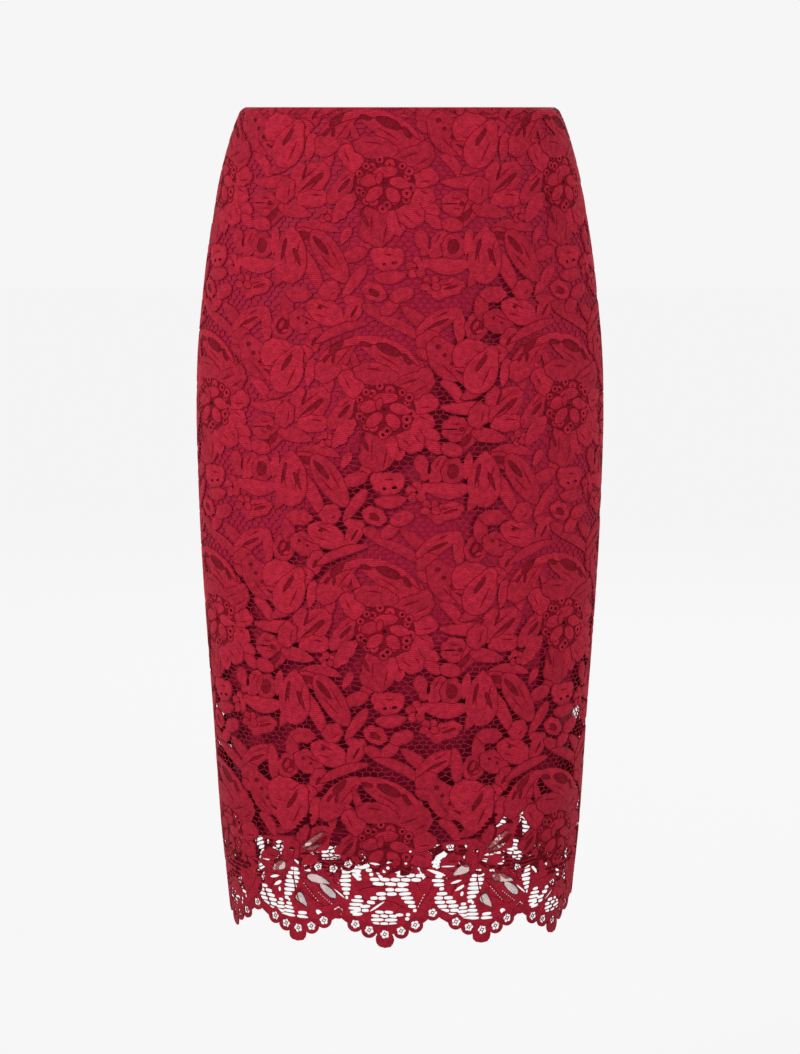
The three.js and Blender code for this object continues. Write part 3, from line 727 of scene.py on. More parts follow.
def veins(x, y, length, width, angle, tail=0.5, tip=0.5, bend=0.0, steps=None):
    """One or two short grooves between the ribs of a petal or leaf, painted dark as shade."""
    along = np.array([math.cos(math.radians(angle)), math.sin(math.radians(angle))])
    aside = np.array([-along[1], along[0]])
    made = []
    for side in (-1, 1) if width > TWO_VEINS_FROM else (hand.choice((-1, 1)),):
        middle = (x, y) + along * hand.uniform(-0.1, 0.2) * length + aside * side * 0.2 * width
        lean = angle + side * hand.uniform(-12, 2)
        vein = lobe(*middle, hand.uniform(0.3, 0.5) * length, VEIN, lean, 1, 1, bend / 2, 4)
        made.append((GROOVE, [vein]))
    return made


def motifs(chart):
    """The motifs of a chart, each as what it is and its outlines."""
    made = []
    for kind, *lobes in chart:
        made.append((kind, [drawn(*sizes) for sizes in lobes]))
        if kind == CLOTH and lobes[0][3] > VEINED_FROM:
            made += veins(*lobes[0])
    return made


def daisy(x, y, reach, length, turn):
    """A small daisy of five petals."""
    petals = []
    for petal in range(5):
        heading = math.radians(turn + 72 * petal)
        middle = (x + reach * math.cos(heading), y + reach * math.sin(heading))
        petals.append((CLOTH, [drawn(*middle, length, 0.8 * length, turn + 72 * petal)]))
    return petals + [(HOLE, [lobe(x, y, 2.6, 2.6, 0)])]


def flower_eye():
    """The big flower's eye: small loops in a ring on half-tone, round a ring of petals."""
    made = [(HALF, [lobe(*EYE_GROUND)])]
    for step in range(EYE_LOOPS):
        turn = 2 * math.pi * (step + hand.uniform(-0.45, 0.45)) / EYE_LOOPS
        out = hand.uniform(0.74, 1.06)
        place = (out * EYE_RADII[0] * math.cos(turn), out * EYE_RADII[1] * math.sin(turn))
        for kind, low, high, steps in ((CLOTH, 2.3, 4.0, 5), (HOLE, 0.8, 1.7, 4)):
            across = 2 * hand.uniform(low, high)
            made.append((kind, [lobe(*place, across, across, 0, steps=steps)]))
    return made + motifs([(CLOTH, petal) for petal in EYE_PETALS]) + [(HOLE, [lobe(*EYE_MIDDLE)])]


def ladder(x, y, length, width, *shape):
    """One opening of the border: rows of rounded cells between thin level threads."""
    outline = lobe(x, y, length * OPENER, width * OPENER, *shape)
    low, high = outline.min(0), outline.max(0)
    rows = max(1, round((high[1] - low[1]) / LADDER_PITCH))
    pitch = (high[1] - low[1]) / rows
    made = []
    for row in range(rows):
        level = low[1] + (row + 0.5) * pitch
        crossed = [a[0] + (b[0] - a[0]) * (level - a[1]) / (b[1] - a[1])
                   for a, b in zip(outline, np.roll(outline, -1, 0)) if (a[1] > level) != (b[1] > level)]
        left, right = min(crossed), max(crossed)
        more = 0.5 if row % 2 and right - left > 13 else 0
        count = max(1, round((right - left) / LADDER_CELL + more))
        width = (right - left) / count
        lean = hand.uniform(-5, 5)
        made += [(HOLE, [lobe(left + (cell + 0.5) * width, level, width - RUNG, pitch - RUNG, lean,
                              CELL_ENDS, CELL_ENDS, 0, 7)]) for cell in range(count) if width > 1.3]
    return made


def stitched(from_x, from_y, to_x, to_y, count):
    """A row of tiny holes."""
    heading = math.degrees(math.atan2(to_y - from_y, to_x - from_x))
    return [(HOLE, [lobe(from_x + (to_x - from_x) * step / (count - 1),
                         from_y + (to_y - from_y) * step / (count - 1), 1.4, 0.9, heading)])
            for step in range(count)]


def scallop(x, y, length, bend, loops):
    """A scalloped band with its lumps and tab in one, and the open loops along it."""
    lumps = [lobe(*at, LUMP, LUMP, 0, steps=9) for at in loops]
    tab = drawn(x, y - TAB_DROP, TAB[1], TAB[0], -90, 0.3, 0.34)
    made = [(FLUSH, [drawn(x, y, length, BAND, 0, 0.15, 0.15, bend, 16)] + lumps + [tab])]
    for at in loops:
        turns = np.radians(np.arange(5) * 72 + hand.uniform(0, 72))
        petals = [(at[0] + LOOP_EYE["reach"] * math.cos(turn), at[1] + LOOP_EYE["reach"] * math.sin(turn))
                  for turn in turns]
        eye = [lobe(*petal, LOOP_EYE["petal"], LOOP_EYE["petal"], 0) for petal in petals]
        made.append((HOLE, eye + [lobe(*at, LOOP_EYE["middle"], LOOP_EYE["middle"], 0)]))
        made += [(NET, [lobe(*at, 8, RUNG, turn, 0.1, 0.1, 0, 3)]) for turn in (25, 100)]
        made += [(kind, [lobe(*at, *sizes, 20)]) for kind, sizes in zip((NET, HOLE), LOOP_HEART)]
    return made


def repeated(made, rows=(0,)):
    """Copies of motifs one repeat to each side, in some rows of repeats."""
    return [(kind, [outline + (x * REPEAT[0], y * REPEAT[1]) for outline in outlines])
            for x in (-1, 0, 1) for y in rows for kind, outlines in made]


def middle_level(motif):
    """The level of a motif's middle."""
    return motif[1][0].mean(0)[1]


pattern = motifs(PATTERN) + [part for row in DAISIES for part in daisy(*row)] + flower_eye()
# the opening that is all the air below the scallops
below_edge = [(HOLE, [np.array(
    [(SCALLOP_SPAN / 2 * side - SCALLOP_SPAN + SCALLOP_SPAN * step,
      CUT_EDGE[0] - CUT_EDGE[1] * math.cos(math.pi * side / 2))
     for step in range(4) for side in np.linspace(-1, 1, 7)]
    + [(FAR_ASIDE, CUT_FOOT), (-FAR_ASIDE / 2, CUT_FOOT)])])]
# under the flower the border is close clothwork, with its upper edge lost among the petals
close_ground = [(FLUSH, [np.array(
    [(-FAR_ASIDE, GROUND_FOOT), (FAR_ASIDE, GROUND_FOOT)]
    + [(x, GROUND_TOP + 5 * math.sin(x / SCALLOP_SPAN * 8 * math.pi)
        + 3 * math.sin(x / SCALLOP_SPAN * 14 * math.pi))
       for x in np.arange(FAR_ASIDE, -FAR_ASIDE - 1, -4)])])]
upper = [motif for motif in pattern if middle_level(motif) > BORDER_TOP]
border = motifs([(kind, sizes) for kind, *lobes in BORDER for sizes in lobes])
border += [cell for row in LADDERS for cell in ladder(*row)]
border += [hole for row in STITCHED for hole in stitched(*row)] + below_edge
border += [part for row in SCALLOPS for part in scallop(*row)]
# motifs below this level hang down into the top of the border's repeat
PATTERN_FOOT = -50
foot = [motif for motif in pattern if middle_level(motif) < PATTERN_FOOT]
pattern_all_round = repeated(pattern, (-1, 0, 1))
border_all_round = close_ground + repeated(upper) + repeated(border) + repeated(foot, (1,))


def inside(points, outline):
    """Which points lie inside an outline."""
    x, y = points[:, 0], points[:, 1]
    found = np.zeros(len(points), bool)
    for (ax, ay), (bx, by) in zip(outline, np.roll(outline, -1, 0)):
        if ay != by:
            found ^= ((ay > y) != (by > y)) & (x < (bx - ax) * (y - ay) / (by - ay) + ax)
    return found


def spread_seeds(made, low, high):
    """The middles of the net's holes: level rows of them, as many as fit between the motifs."""
    x = np.arange(low[0] + 0.25, high[0], 0.5)
    pitch = REPEAT[1] / CELL_ROWS
    seeds = []
    for row, y in enumerate(np.arange(high[1] - pitch / 2, low[1], -pitch)):
        along = np.column_stack([x, np.full_like(x, y)])
        free = np.ones(len(x), bool)
        for kind, outlines in made:
            for outline in outlines:
                if outline[:, 1].min() < y < outline[:, 1].max():
                    free &= ~inside(along, outline)
        if free.all() or not free.any():
            continue
        first = int(np.argmin(free))
        turned = np.roll(free, -first)
        ends = np.flatnonzero(np.diff(np.concatenate([[0], turned.astype(int), [0]])))
        for start, stop in zip(ends[::2], ends[1::2]):
            left, right = x[first] + 0.5 * start, x[first] + 0.5 * stop
            middles = [(left + right) / 2]
            if right - left > 1.7 * CELL_WIDTH:
                lattice = (np.arange(-60, 60) + row % 2 / 2) * CELL_WIDTH
                clear = 0.15 * CELL_WIDTH
                middles = lattice[(lattice > left + clear) & (lattice < right - clear)]
            for middle in middles:
                middle = (middle - low[0]) % (high[0] - low[0]) + low[0]
                middle += hand.uniform(-1, 1) * CELL_JITTER
                if right - left > 0.8:
                    seeds.append((middle, y + hand.uniform(-1, 1) * CELL_JITTER))
    return np.array(seeds)


def net_holes(seeds, about):
    """The hole round each seed in or near a repeat with its middle at a level: what is nearer to
    the seed than to the others, less half a thread."""
    stretch = np.array([1, CELL_WIDENING ** 2])
    reach = (REPEAT[0] / 2 + NEAR_REPEAT, REPEAT[1] / 2 + NEAR_REPEAT)
    holes = []
    for seed in seeds[(np.abs(seeds - (0, about)) < reach).all(1)]:
        gap = np.abs(seeds - seed).max(1)
        near = seeds[(gap < SEED_REACH) & (gap > 0.01)]
        hole = [seed + corner for corner in np.array([(-8, -6), (8, -6), (8, 6), (-8, 6)])]
        for other in near[np.argsort(((near - seed) ** 2).sum(1))][:16]:
            normal = stretch * (other - seed)
            edge = normal @ (seed + other) / 2 - THREAD / 2 * np.linalg.norm(normal)
            kept = []
            for a, b in zip(hole, hole[1:] + hole[:1]):
                side_a, side_b = a @ normal - edge, b @ normal - edge
                if side_a <= 0:
                    kept.append(a)
                if (side_a < 0) != (side_b < 0):
                    kept.append(a + (b - a) * side_a / (side_a - side_b))
            hole = kept
            if len(hole) < 3:
                break
        if len(hole) >= 3:
            holes.append(np.array(hole))
    return holes


def grain(motif):
    """A motif's own number, either side of 0, which turns its ribs and tints its thread."""
    return 2 * GRAIN * (0.37 * abs(turning(motif[1][0])) % 1) - GRAIN


def woven(made, holes, low, high):
    """One repeat as a flat mesh: points with their relief, triangles and what each is. What it is
    has the motif's own number added to it."""
    low, high = np.array(low), np.array(high)
    layers = [(NET, -1, np.array([low, (high[0], low[1]), high, (low[0], high[1])]))]
    layers += [(HOLE, -1, hole) for hole in holes]
    for number, (kind, outlines) in enumerate(made):
        if kind == CLOTH and number % FLUSH_EVERY:
            layers += [(EDGE, number, grown(outline, GROOVE_WIDTH)) for outline in outlines]
        layers += [(CLOTH if kind == FLUSH else kind, number, outline) for outline in outlines]
    layers = [layer for layer in layers
              if (layer[2].max(0) > low).all() and (layer[2].min(0) < high).all()]
    corners, faces = [], []
    for kind, number, outline in layers:
        faces.append(list(range(len(corners), len(corners) + len(outline))))
        corners += [tuple(corner) for corner in outline[::1 if turning(outline) > 0 else -1]]
    there = np.array(corners)
    steps = [np.arange(low[axis] + FILL_STEP / 2, high[axis], FILL_STEP) for axis in (0, 1)]
    fill = np.array([(x + (row % 2) * FILL_STEP / 2, y)
                     for x in steps[0] for row, y in enumerate(steps[1])])
    fill = fill[(fill > low + 1.5).all(1) & (fill < high - 1.5).all(1)]
    clear = np.array([np.abs(there - point).max(1).min() > 1.6 for point in fill])
    corners += [tuple(point) for point in fill[clear]]
    points, _, triangles, _, _, sources = delaunay_2d_cdt(
        [Vector(corner) for corner in corners], [], faces, 0, 1e-4)
    kinds, numbers, kept = [], [], []
    for triangle, source in zip(triangles, sources):
        if source and min(source) == 0:
            top = max(source)
            kind = layers[top][0]
            under = max([s for s in source if layers[s][0] != EDGE], default=0)
            if kind == EDGE and layers[under][0] in (CLOTH, HALF, GROOVE, SHEER):
                kind = GROOVE
            if kind != HOLE:
                kept.append(triangle)
                kinds.append(kind)
                numbers.append(layers[top][1])
    points = np.array([tuple(point) for point in points])
    kept, kinds, numbers = np.array(kept), np.array(kinds), np.array(numbers)
    # a corner is raised where it touches clothwork, but not where a later motif's groove ends
    raised = np.zeros(len(points), bool)
    raised[kept[np.isin(kinds, (CLOTH, HALF, SHEER))].ravel()] = True
    pair = kept * 4096 + (numbers[:, None] + 1)
    ends = np.setdiff1d(pair[np.isin(kinds, (GROOVE, EDGE))].ravel(), pair[kinds == CLOTH].ravel())
    raised[ends // 4096] = False
    used, index = np.unique(kept, return_inverse=True)
    grains = np.array([grain(motif) for motif in made] + [0.0])
    return points[used], raised[used].astype(float), index.reshape(-1, 3), kinds + grains[numbers]


def edges_of(triangles):
    """The directed edges that only one triangle has."""
    runs = np.concatenate([triangles[:, [0, 1]], triangles[:, [1, 2]], triangles[:, [2, 0]]])
    size = triangles.max() + 1
    forward, back = runs[:, 0] * size + runs[:, 1], runs[:, 1] * size + runs[:, 0]
    return runs[~np.isin(forward, back)]


def plain_back(repeat, low, high):
    """The wrong side of a repeat: the same openings, with no relief and few triangles. The sheer
    hearts of leaves have no wrong side, so light comes through them."""
    points, _, triangles, kinds = repeat
    edges = edges_of(triangles[np.rint(kinds) != SHEER])
    used, index = np.unique(edges, return_inverse=True)
    edges = index.reshape(-1, 2)
    corners = points[used]
    fill = np.array([(x, y) for x in np.arange(low[0] + BACK_STEP / 2, high[0], BACK_STEP)
                     for y in np.arange(low[1] + BACK_STEP / 2, high[1], BACK_STEP)])
    clear = np.array([np.abs(corners - point).max(1).min() > 3 for point in fill])
    made, _, faces, _, _, _ = delaunay_2d_cdt(
        [Vector(corner) for corner in np.concatenate([corners, fill[clear]])],
        [tuple(edge) for edge in edges], [], 0, 1e-5)
    # which faces are cloth spreads from both sides of the edges
    walls = {tuple(edge): True for edge in edges}
    walls.update({(b, a): False for a, b in edges})
    beside, solid = {}, {}
    for number, face in enumerate(faces):
        for edge in zip(face, face[1:] + face[:1]):
            beside[edge] = number
            if edge in walls:
                solid[number] = walls[edge]
    reached = list(solid)
    while reached:
        number = reached.pop()
        face = faces[number]
        for a, b in zip(face, face[1:] + face[:1]):
            across = beside.get((b, a))
            if (a, b) not in walls and across is not None and across not in solid:
                solid[across] = solid[number]
                reached.append(across)
    kept = np.array([face for number, face in enumerate(faces) if solid.get(number)])
    return np.array([tuple(point) for point in made]), kept


low, high = (-REPEAT[0] / 2, -REPEAT[1] / 2), (REPEAT[0] / 2, REPEAT[1] / 2)
seeds = spread_seeds(pattern_all_round, low, high)
all_round = np.concatenate([seeds + (x * REPEAT[0], y * REPEAT[1])
                            for x in (-1, 0, 1) for y in (-1, 0, 1)])
pattern_repeat = woven(pattern_all_round, net_holes(all_round, 0), low, high)
border_low = (low[0], BORDER_FOOT)
seeds = np.concatenate([spread_seeds(border_all_round, border_low, high),
                        seeds[seeds[:, 1] < PATTERN_FOOT] + (0, REPEAT[1])])
all_round = np.concatenate([seeds + (x * REPEAT[0], 0) for x in (-1, 0, 1)])
border_repeat = woven(border_all_round, net_holes(all_round, -2), border_low, high)
pattern_back = plain_back(pattern_repeat, low, high)
border_back = plain_back(border_repeat, border_low, high)

# the panels, in metres
RELIEF = 0.00055                 # the clothwork stands this far above the net
LACE_THICKNESS = 0.00115         # from the face of the clothwork to the wrong side
LACE_SHARP = 55                  # edges sharper than this, in degrees, are left unsmoothed
HIP_STRETCH = 0.032              # the lace is stretched round the hips by this share,
HIP_EASE = (0.300, 0.616)        # which goes between these depths below the waist
HALVED_AT = -0.345               # the cloth is meshed in an upper and a lower part that meet here
TURNING = 0.008                  # allowance turned in at the waist
FOLD_RADIUS = 0.00065            # of the fold at the waist's edge,
FOLD_BAND = 0.001                # which takes this much cloth above the waist and below,
FOLD_THIN = 0.65                 # and thins it by this share
SLOT_WIDTH = 0.0003              # between the back panels at the zip,
SLIDER_ROOM = 0.00085            # and this much more on each side at the slider,
SLIDER_FOOT = (0.020, 0.036)     # which closes between these depths
SEAM_FURROW = 0.006              # the seams pull in this share of a panel's half width
SEAM_DEPTH = 0.0004              # by so much
BACK_LIFT = 0.014                # the border rises this much towards the centre back,
LIFT_FROM = (0.300, 0.650)       # between these depths
LIFT_SIDES = (40, 170)           # and these angles
HEM_LEVEL = -0.699
# how much cloth is laid out before it is cut: to each side of the front, and for each back
FLAT_REACH = (0.230, 0.250)
# the UV chart: how many metres it spans, the width of a panel's unit share in metres, front and
# back, and where the wrong side is charted
CHART_SPAN = 0.8
CHART_SHARE = (0.225, 0.235)
CHART_BACK = (0.62, 0.5)
QUARTER = np.linspace(0, 90, 181)
FLATTEST, ROUNDEST, SHAPES = 0.5, 0.9, 17   # the sections' range of depth to half width


def quarter_length(across, depth):
    """A quarter of an ellipse's girth."""
    lean = ((across - depth) / (across + depth)) ** 2
    return math.pi * (across + depth) / 4 * (1 + 3 * lean / (10 + np.sqrt(4 - 3 * lean)))


def arc_table():
    """The angle at each share of a quarter arc, row by row for sections from flat to round."""
    turn = np.radians(QUARTER)
    rows = []
    for shape in np.linspace(FLATTEST, ROUNDEST, SHAPES):
        step = np.hypot(np.cos(turn), shape * np.sin(turn))
        run = np.concatenate([[0], np.cumsum((step[1:] + step[:-1]) / 2)])
        rows.append(np.interp(np.linspace(0, 1, len(QUARTER)), run / run[-1], QUARTER))
    return np.array(rows)


ARCS = arc_table()


def angle_at(share, shape):
    """The angle from a section's middle at a share of its quarter arc; shape is depth to width."""
    row = np.clip((shape - FLATTEST) / (ROUNDEST - FLATTEST) * (SHAPES - 1), 0, SHAPES - 1.001)
    column = np.clip(share * (len(QUARTER) - 1), 0, len(QUARTER) - 1.001)
    r, c = row.astype(int), column.astype(int)
    row, column = row - r, column - c
    return ((1 - row) * ((1 - column) * ARCS[r, c] + column * ARCS[r, c + 1])
            + row * ((1 - column) * ARCS[r + 1, c] + column * ARCS[r + 1, c + 1]))


hem_across, hem_front, hem_back = [size[0] for size in sizes_at(np.array([HEM_LEVEL]))]
GIRTH_HALF = quarter_length(hem_across, hem_front) + quarter_length(hem_across, hem_back)


def laid_out(repeat, hem_repeat, from_x, to_x, right_side):
    """Repeats side by side and one above the other, as flat arrays in metres."""
    points, triangles, kinds, count = [], [], [], 0
    first = math.floor((from_x * 1000 - FIRST_COLUMN) / REPEAT[0] + 0.5)
    last = math.ceil((to_x * 1000 - FIRST_COLUMN) / REPEAT[0] - 0.5)
    for column in range(first, last + 1):
        for row in range(ROWS):
            made = hem_repeat if row == ROWS - 1 else repeat
            flat = made[0] + (FIRST_COLUMN + column * REPEAT[0], FIRST_ROW - row * REPEAT[1])
            height = made[1] if right_side else np.zeros(len(flat))
            points.append(np.column_stack([flat / 1000, height]))
            triangles.append(made[2 if right_side else 1] + count)
            kinds.append(made[3] if right_side else np.full(len(made[1]), float(CLOTH)))
            count += len(flat)
    return np.concatenate(points), np.concatenate(triangles), np.concatenate(kinds)


def weave_mesh(name, points, triangles, kinds):
    """A mesh whose triangles each say what they are."""
    mesh = bpy.data.meshes.new(name)
    mesh.from_pydata(points.tolist(), [], triangles.tolist())
    mesh.attributes.new("weave", "FLOAT", "FACE").data.foreach_set("value", kinds.astype(np.float32))
    return mesh


def trimmed(points, triangles, kinds, cuts):
    """The flat cloth, joined along its repeats and cut by planes: a point, a normal, and whether
    what lies beyond the plane is cut off."""
    mesh = weave_mesh("cut", points, triangles, kinds)
    work = bmesh.new()
    work.from_mesh(mesh)
    bmesh.ops.remove_doubles(work, verts=work.verts, dist=2e-5)
    for place, normal, clear in cuts:
        bmesh.ops.bisect_plane(work, geom=work.verts[:] + work.edges[:] + work.faces[:], dist=1e-6,
                               plane_co=place, plane_no=normal, clear_outer=clear)
    bmesh.ops.triangulate(work, faces=work.faces[:])
    work.to_mesh(mesh)
    work.free()
    found = np.empty(len(mesh.vertices) * 3)
    mesh.vertices.foreach_get("co", found)
    corners = np.empty(len(mesh.polygons) * 3, np.int32)
    mesh.polygons.foreach_get("vertices", corners)
    weave = np.empty(len(mesh.polygons), np.float32)
    mesh.attributes["weave"].data.foreach_get("value", weave)
    bpy.data.meshes.remove(mesh)
    return found.reshape(-1, 3), corners.reshape(-1, 3), weave


def lace_cloth(side, low_z, high_z):
    """The flat front (side 0) or back (side 1 left, -1 right) between two levels: right side,
    wrong side. Each is points (share across, level, relief), triangles and what each is."""
    cuts = [((1, 0, 0), (1, 0, 0), True), ((0 if side else -1, 0, 0), (-1, 0, 0), True),
            ((0, high_z, 0), (0, 1, 0), True), ((0, low_z, 0), (0, -1, 0), True)]
    cuts += [((end * (1 - SEAM_FURROW), 0, 0), (1, 0, 0), False) for end in ((1,) if side else (-1, 1))]
    if high_z > 0:
        cuts += [((0, z, 0), (0, 1, 0), False) for z in (-0.001, -0.0005, 0, 0.0005, 0.001)]
    reach = (-FLAT_REACH[0], FLAT_REACH[0]) if side == 0 else (GIRTH_HALF - FLAT_REACH[1], GIRTH_HALF)
    if side < 0:
        reach = (-reach[1], -reach[0])
    out = []
    for right_side, parts in ((True, (pattern_repeat, border_repeat)), (False, (pattern_back, border_back))):
        points, triangles, kinds = laid_out(*parts, *reach, right_side)
        across, front, back = sizes_at(points[:, 1])
        girth = quarter_length(across, back if side else front)
        stretch = 1 + HIP_STRETCH * (1 - smooth_step(-points[:, 1], *HIP_EASE))
        flat = points[:, 0] if side == 0 else GIRTH_HALF - side * points[:, 0]
        points[:, 0] = flat * stretch / girth
        out.append(trimmed(points, triangles, kinds, cuts))
    return out


def worn(flat, side, depth):
    """Flat lace put round the body: share across and level to a place in the skirt."""
    share, z = flat[:, 0], flat[:, 1]
    across, front, back = sizes_at(np.minimum(z, 0))
    if side == 0:
        angle = np.sign(share) * angle_at(np.abs(share), front / across)
    else:
        girth = quarter_length(across, back)
        slot = np.where(z > zip_foot, SLOT_WIDTH / 2, 0)
        slot = slot + SLIDER_ROOM * (1 - smooth_step(-z, *SLIDER_FOOT))
        run = slot + share * (girth - slot)
        angle = side * (180 - angle_at(run / girth, back / across))
    rise = BACK_LIFT * smooth_step(-z, *LIFT_FROM) * smooth_step(np.abs(angle), *LIFT_SIDES)
    # above the waist the cloth goes round the fold and down inside
    phase = np.clip((FOLD_BAND + z) / (2 * FOLD_BAND), 0, 1) * math.pi
    reach = FOLD_RADIUS - depth * (1 - FOLD_THIN * phase / math.pi)
    round_fold = -FOLD_BAND + (FOLD_BAND / FOLD_RADIUS) * reach * np.sin(phase)
    level = np.where(z > FOLD_BAND, -z, np.where(z > -FOLD_BAND, round_fold, z))
    seam = SEAM_DEPTH * np.clip((np.abs(share) - 1 + SEAM_FURROW) / SEAM_FURROW, 0, 1)
    out = folds(angle, z) - FOLD_RADIUS + reach * np.cos(phase) - seam
    return on_form(angle, np.minimum(level, 0) + rise, out)


def lace_panel(name, side, low_z, high_z):
    """One stretch of lace as a thin closed cloth: its right side, wrong side and edges between."""
    (face, front_triangles, kinds), (plain, back_triangles, _) = lace_cloth(side, low_z, high_z)
    edges = edges_of(front_triangles[np.rint(kinds) != SHEER])
    edge_points, edge_index = np.unique(edges, return_inverse=True)
    edge_index = edge_index.reshape(-1, 2) + len(face)
    points = np.concatenate([
        worn(face, side, RELIEF * (1 - face[:, 2])),
        worn(face[edge_points], side, LACE_THICKNESS),
        worn(plain, side, LACE_THICKNESS)])
    rim = np.concatenate([np.column_stack([edges[:, 1], edges[:, 0], edge_index[:, 0]]),
                          np.column_stack([edges[:, 1], edge_index[:, 0], edge_index[:, 1]])])
    back_first = len(face) + len(edge_points)
    triangles = np.concatenate([front_triangles, rim, back_triangles[:, ::-1] + back_first])
    # the rims take the edge's darker colour, which is painted shade
    weave = np.concatenate([kinds, np.full(len(rim), EDGE), np.full(len(back_triangles), CLOTH)])
    mesh = weave_mesh(name, points, triangles, weave)
    # the cloth is charted flat, with its wrong side beside its right side
    flat = np.concatenate([face, face[edge_points], plain])[:, :2]
    chart = (flat - flat.min(0)) / CHART_SPAN
    chart[:, 0] = (flat[:, 0] - flat[:, 0].min()) * CHART_SHARE[abs(side)] / CHART_SPAN
    corners = chart[triangles.ravel()]
    corners[3 * (len(front_triangles) + len(rim)):, 0] += CHART_BACK[abs(side)]
    uv = mesh.uv_layers.new(name="OFBake")
    uv.data.foreach_set("uv", corners.astype(np.float32).ravel())
    mesh.validate()
    panel = bpy.data.objects.new(name, mesh)
    scene.collection.objects.link(panel)
    return panel


# the thread's colours: close clothwork and the other kinds of work; the grooves' and edges' darker colours
# are painted shade
LACE_RED = (0.240, 0.0080, 0.0205, 1)
NET_SHADE = (0.200, 0.0082, 0.0200, 1)
HALF_SHADE = (0.142, 0.0036, 0.0108, 1)
GROOVE_PAINTED_SHADE = (0.148, 0.0016, 0.0080, 1)
EDGE_PAINTED_SHADE = (0.180, 0.0050, 0.0145, 1)
SHEER_SHADE = (0.40, 0.11, 0.12, 1)
RIB_PITCH = 0.0017               # of the ribs in the clothwork
RIB_ANGLE = -20                  # how they lean, in degrees,
RIB_LEAN = 42                    # and a motif's own lean this much further, either way
# the rib pattern is painted: deeper and more saturated in the ribs' hollows, as painted shade, and paler and
# pinker on their tops, as a painted highlight
RIB_PAINTED_SHADE = (0.83, 0.68, 0.76, 1)
RIB_PAINTED_HIGHLIGHT = (1.25, 1.65, 1.38, 1)
RIB_WAVER = {"Distortion": 5, "Detail": 2, "Detail Scale": 3}
RIB_RISE = 0.0002
GAUZE_PITCH = 0.0008             # of the threads of the half-tone
HALF_COVER = 0.60                # the share of the half-tone that is thread
PILLOW = 0.0045                  # size of the soft swellings of the cloth,
PILLOW_RISE = 0.0005             # and their height
OWN_TONES = (0.90, 1.10)         # darkest and lightest motif,
PILLOW_PAINTED_SHADE = (0.86, 1.14)      # and the painted shade in the swellings' dips and painted light on their tops
HEM_SHADE_HEIGHTS = (-0.615, -0.565)       # between these heights the lace is painted darker towards the hem, as painted shade,
HEM_PAINTED_SHADE = (0.88, 1)        # by this much at the hem
WAVE = 2 * math.pi / 20 * CHART_SPAN   # scale of a wave whose pitch is a metre of cloth
SHEEN = {"Sheen Weight": 0.08, "Sheen Roughness": 0.4, "Sheen Tint": (1, 0.55, 0.6, 1)}


def reckoned(material, operation, *values):
    """The result of one sum or test."""
    step = added(material, "Math")
    step.operation = operation
    feed(step, dict(enumerate(values)))
    return step.outputs["Value"]


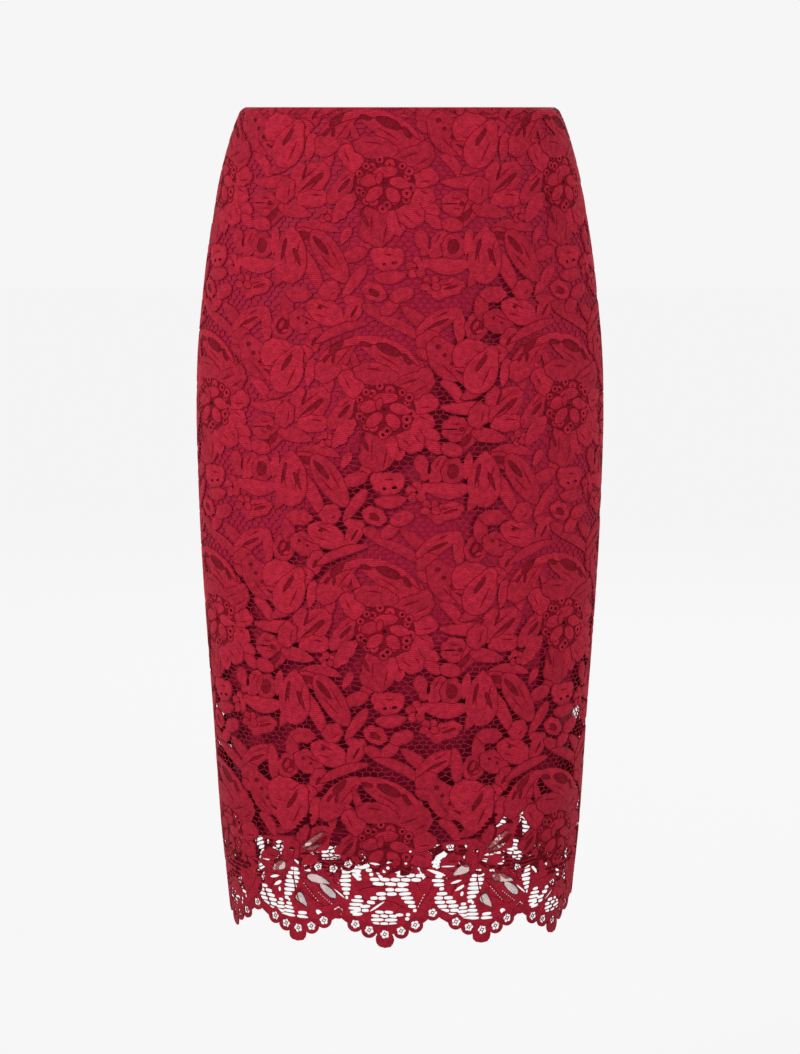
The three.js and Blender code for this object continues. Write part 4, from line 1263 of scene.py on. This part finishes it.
def lace_thread():
    """Red lace: ribbed clothwork with painted light and shade, open hatched half-tone, darker net threads,
    and grooves and edges painted darker as shade.
    """
    material, shader = new_material("corded_lace", LACE_RED, 0.85, 0.03)
    attribute = added(material, "Attribute")
    attribute.attribute_name = "weave"
    weave = attribute.outputs["Fac"]
    shades = added(material, "ValToRGB", {"Fac": reckoned(material, "DIVIDE", weave, SHEER)})
    steps = shades.color_ramp
    steps.interpolation = "CONSTANT"
    steps.elements[0].color = NET_SHADE
    steps.elements[1].position = (SHEER - 0.5) / SHEER
    steps.elements[1].color = SHEER_SHADE
    # grooves and edges take darker colours, as painted shade
    for kind, colour in ((CLOTH, LACE_RED), (HALF, HALF_SHADE), (GROOVE, GROOVE_PAINTED_SHADE), (EDGE, EDGE_PAINTED_SHADE)):
        steps.elements.new((kind - 0.5) / SHEER).color = colour
    # the ribs lean by the motif's own number, which is what its kind leaves over
    own = reckoned(material, "WRAP", weave, 0.5, -0.5)
    lean = reckoned(material, "MULTIPLY_ADD", own, math.radians(RIB_LEAN) / GRAIN, math.radians(RIB_ANGLE))
    chart = added(material, "UVMap")
    chart.uv_map = "OFBake"
    turned = added(material, "VectorRotate")
    turned.rotation_type = "Z_AXIS"
    feed(turned, {"Vector": chart.outputs["UV"], "Angle": lean})
    leaning = turned.outputs["Vector"]
    ribs = striped(material, "Y", {"Vector": leaning, "Scale": WAVE / RIB_PITCH, **RIB_WAVER})
    # one noise raises the soft swellings and paints them lighter on top and darker in the dips, as painted
    # light and shade
    pillows = noise(material, 1 / PILLOW, Detail=1)
    swell = bumped(material, pillows, 0.8, PILLOW_RISE)
    height = added(material, "SeparateXYZ", {"Vector": added(material, "TexCoord").outputs["Object"]})
    # the tone is the motif's own tone, times painted light and shade on the swellings, times painted shade
    # towards the hem
    tone = 1
    for value, reach, tones in ((own, (-GRAIN, GRAIN), OWN_TONES), (pillows, (0.35, 0.65), PILLOW_PAINTED_SHADE),
                                (height.outputs["Z"], HEM_SHADE_HEIGHTS, HEM_PAINTED_SHADE)):
        ranged = added(material, "MapRange", {"Value": value, "From Min": reach[0], "From Max": reach[1],
                                              "To Min": tones[0], "To Max": tones[1]})
        tone = reckoned(material, "MULTIPLY", tone, ranged.outputs["Result"])
    # the ribs' painted highlight and shade, times the tone
    ribs_and_painted_light = blended(material, 1, blended(material, ribs, RIB_PAINTED_SHADE, RIB_PAINTED_HIGHLIGHT), tone, "MULTIPLY")
    # half-tone and sheer work are open between their threads
    gauze = striped(material, "Y", {"Vector": leaning, "Scale": WAVE / GAUZE_PITCH})
    hatch = reckoned(material, "GREATER_THAN", gauze, 1 - HALF_COVER)
    tests = [reckoned(material, "COMPARE", weave, kind, 0.4) for kind in (HALF, SHEER)]
    cover = added(material, "Mix", {"Factor": reckoned(material, "MAXIMUM", *tests), "A": 1, "B": hatch})
    feed(shader, {
        "Base Color": blended(material, 1, shades.outputs["Color"], ribs_and_painted_light, "MULTIPLY"),
        "Normal": bumped(material, ribs, 0.6, RIB_RISE, Normal=swell),
        "Alpha": cover.outputs["Result"], **SHEEN})
    return material


lace_red = lace_thread()
BELOW_HEM = cad_box[0][2] - 0.03   # lower than any tab of the scallops
for name, side in (("lace_front", 0), ("lace_back_left", 1), ("lace_back_right", -1)):
    for half, low_z, high_z in (("upper", HALVED_AT, TURNING), ("lower", BELOW_HEM, HALVED_AT)):
        panel = lace_panel(name + "_" + half, side, low_z, high_z)
        bpy.ops.object.select_all(action="DESELECT")
        panel.select_set(True)
        bpy.context.view_layer.objects.active = panel
        bpy.ops.object.shade_smooth_by_angle(angle=math.radians(LACE_SHARP))
        panel.data.materials.append(lace_red)
        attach(panel, "skirt")
        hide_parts(name)
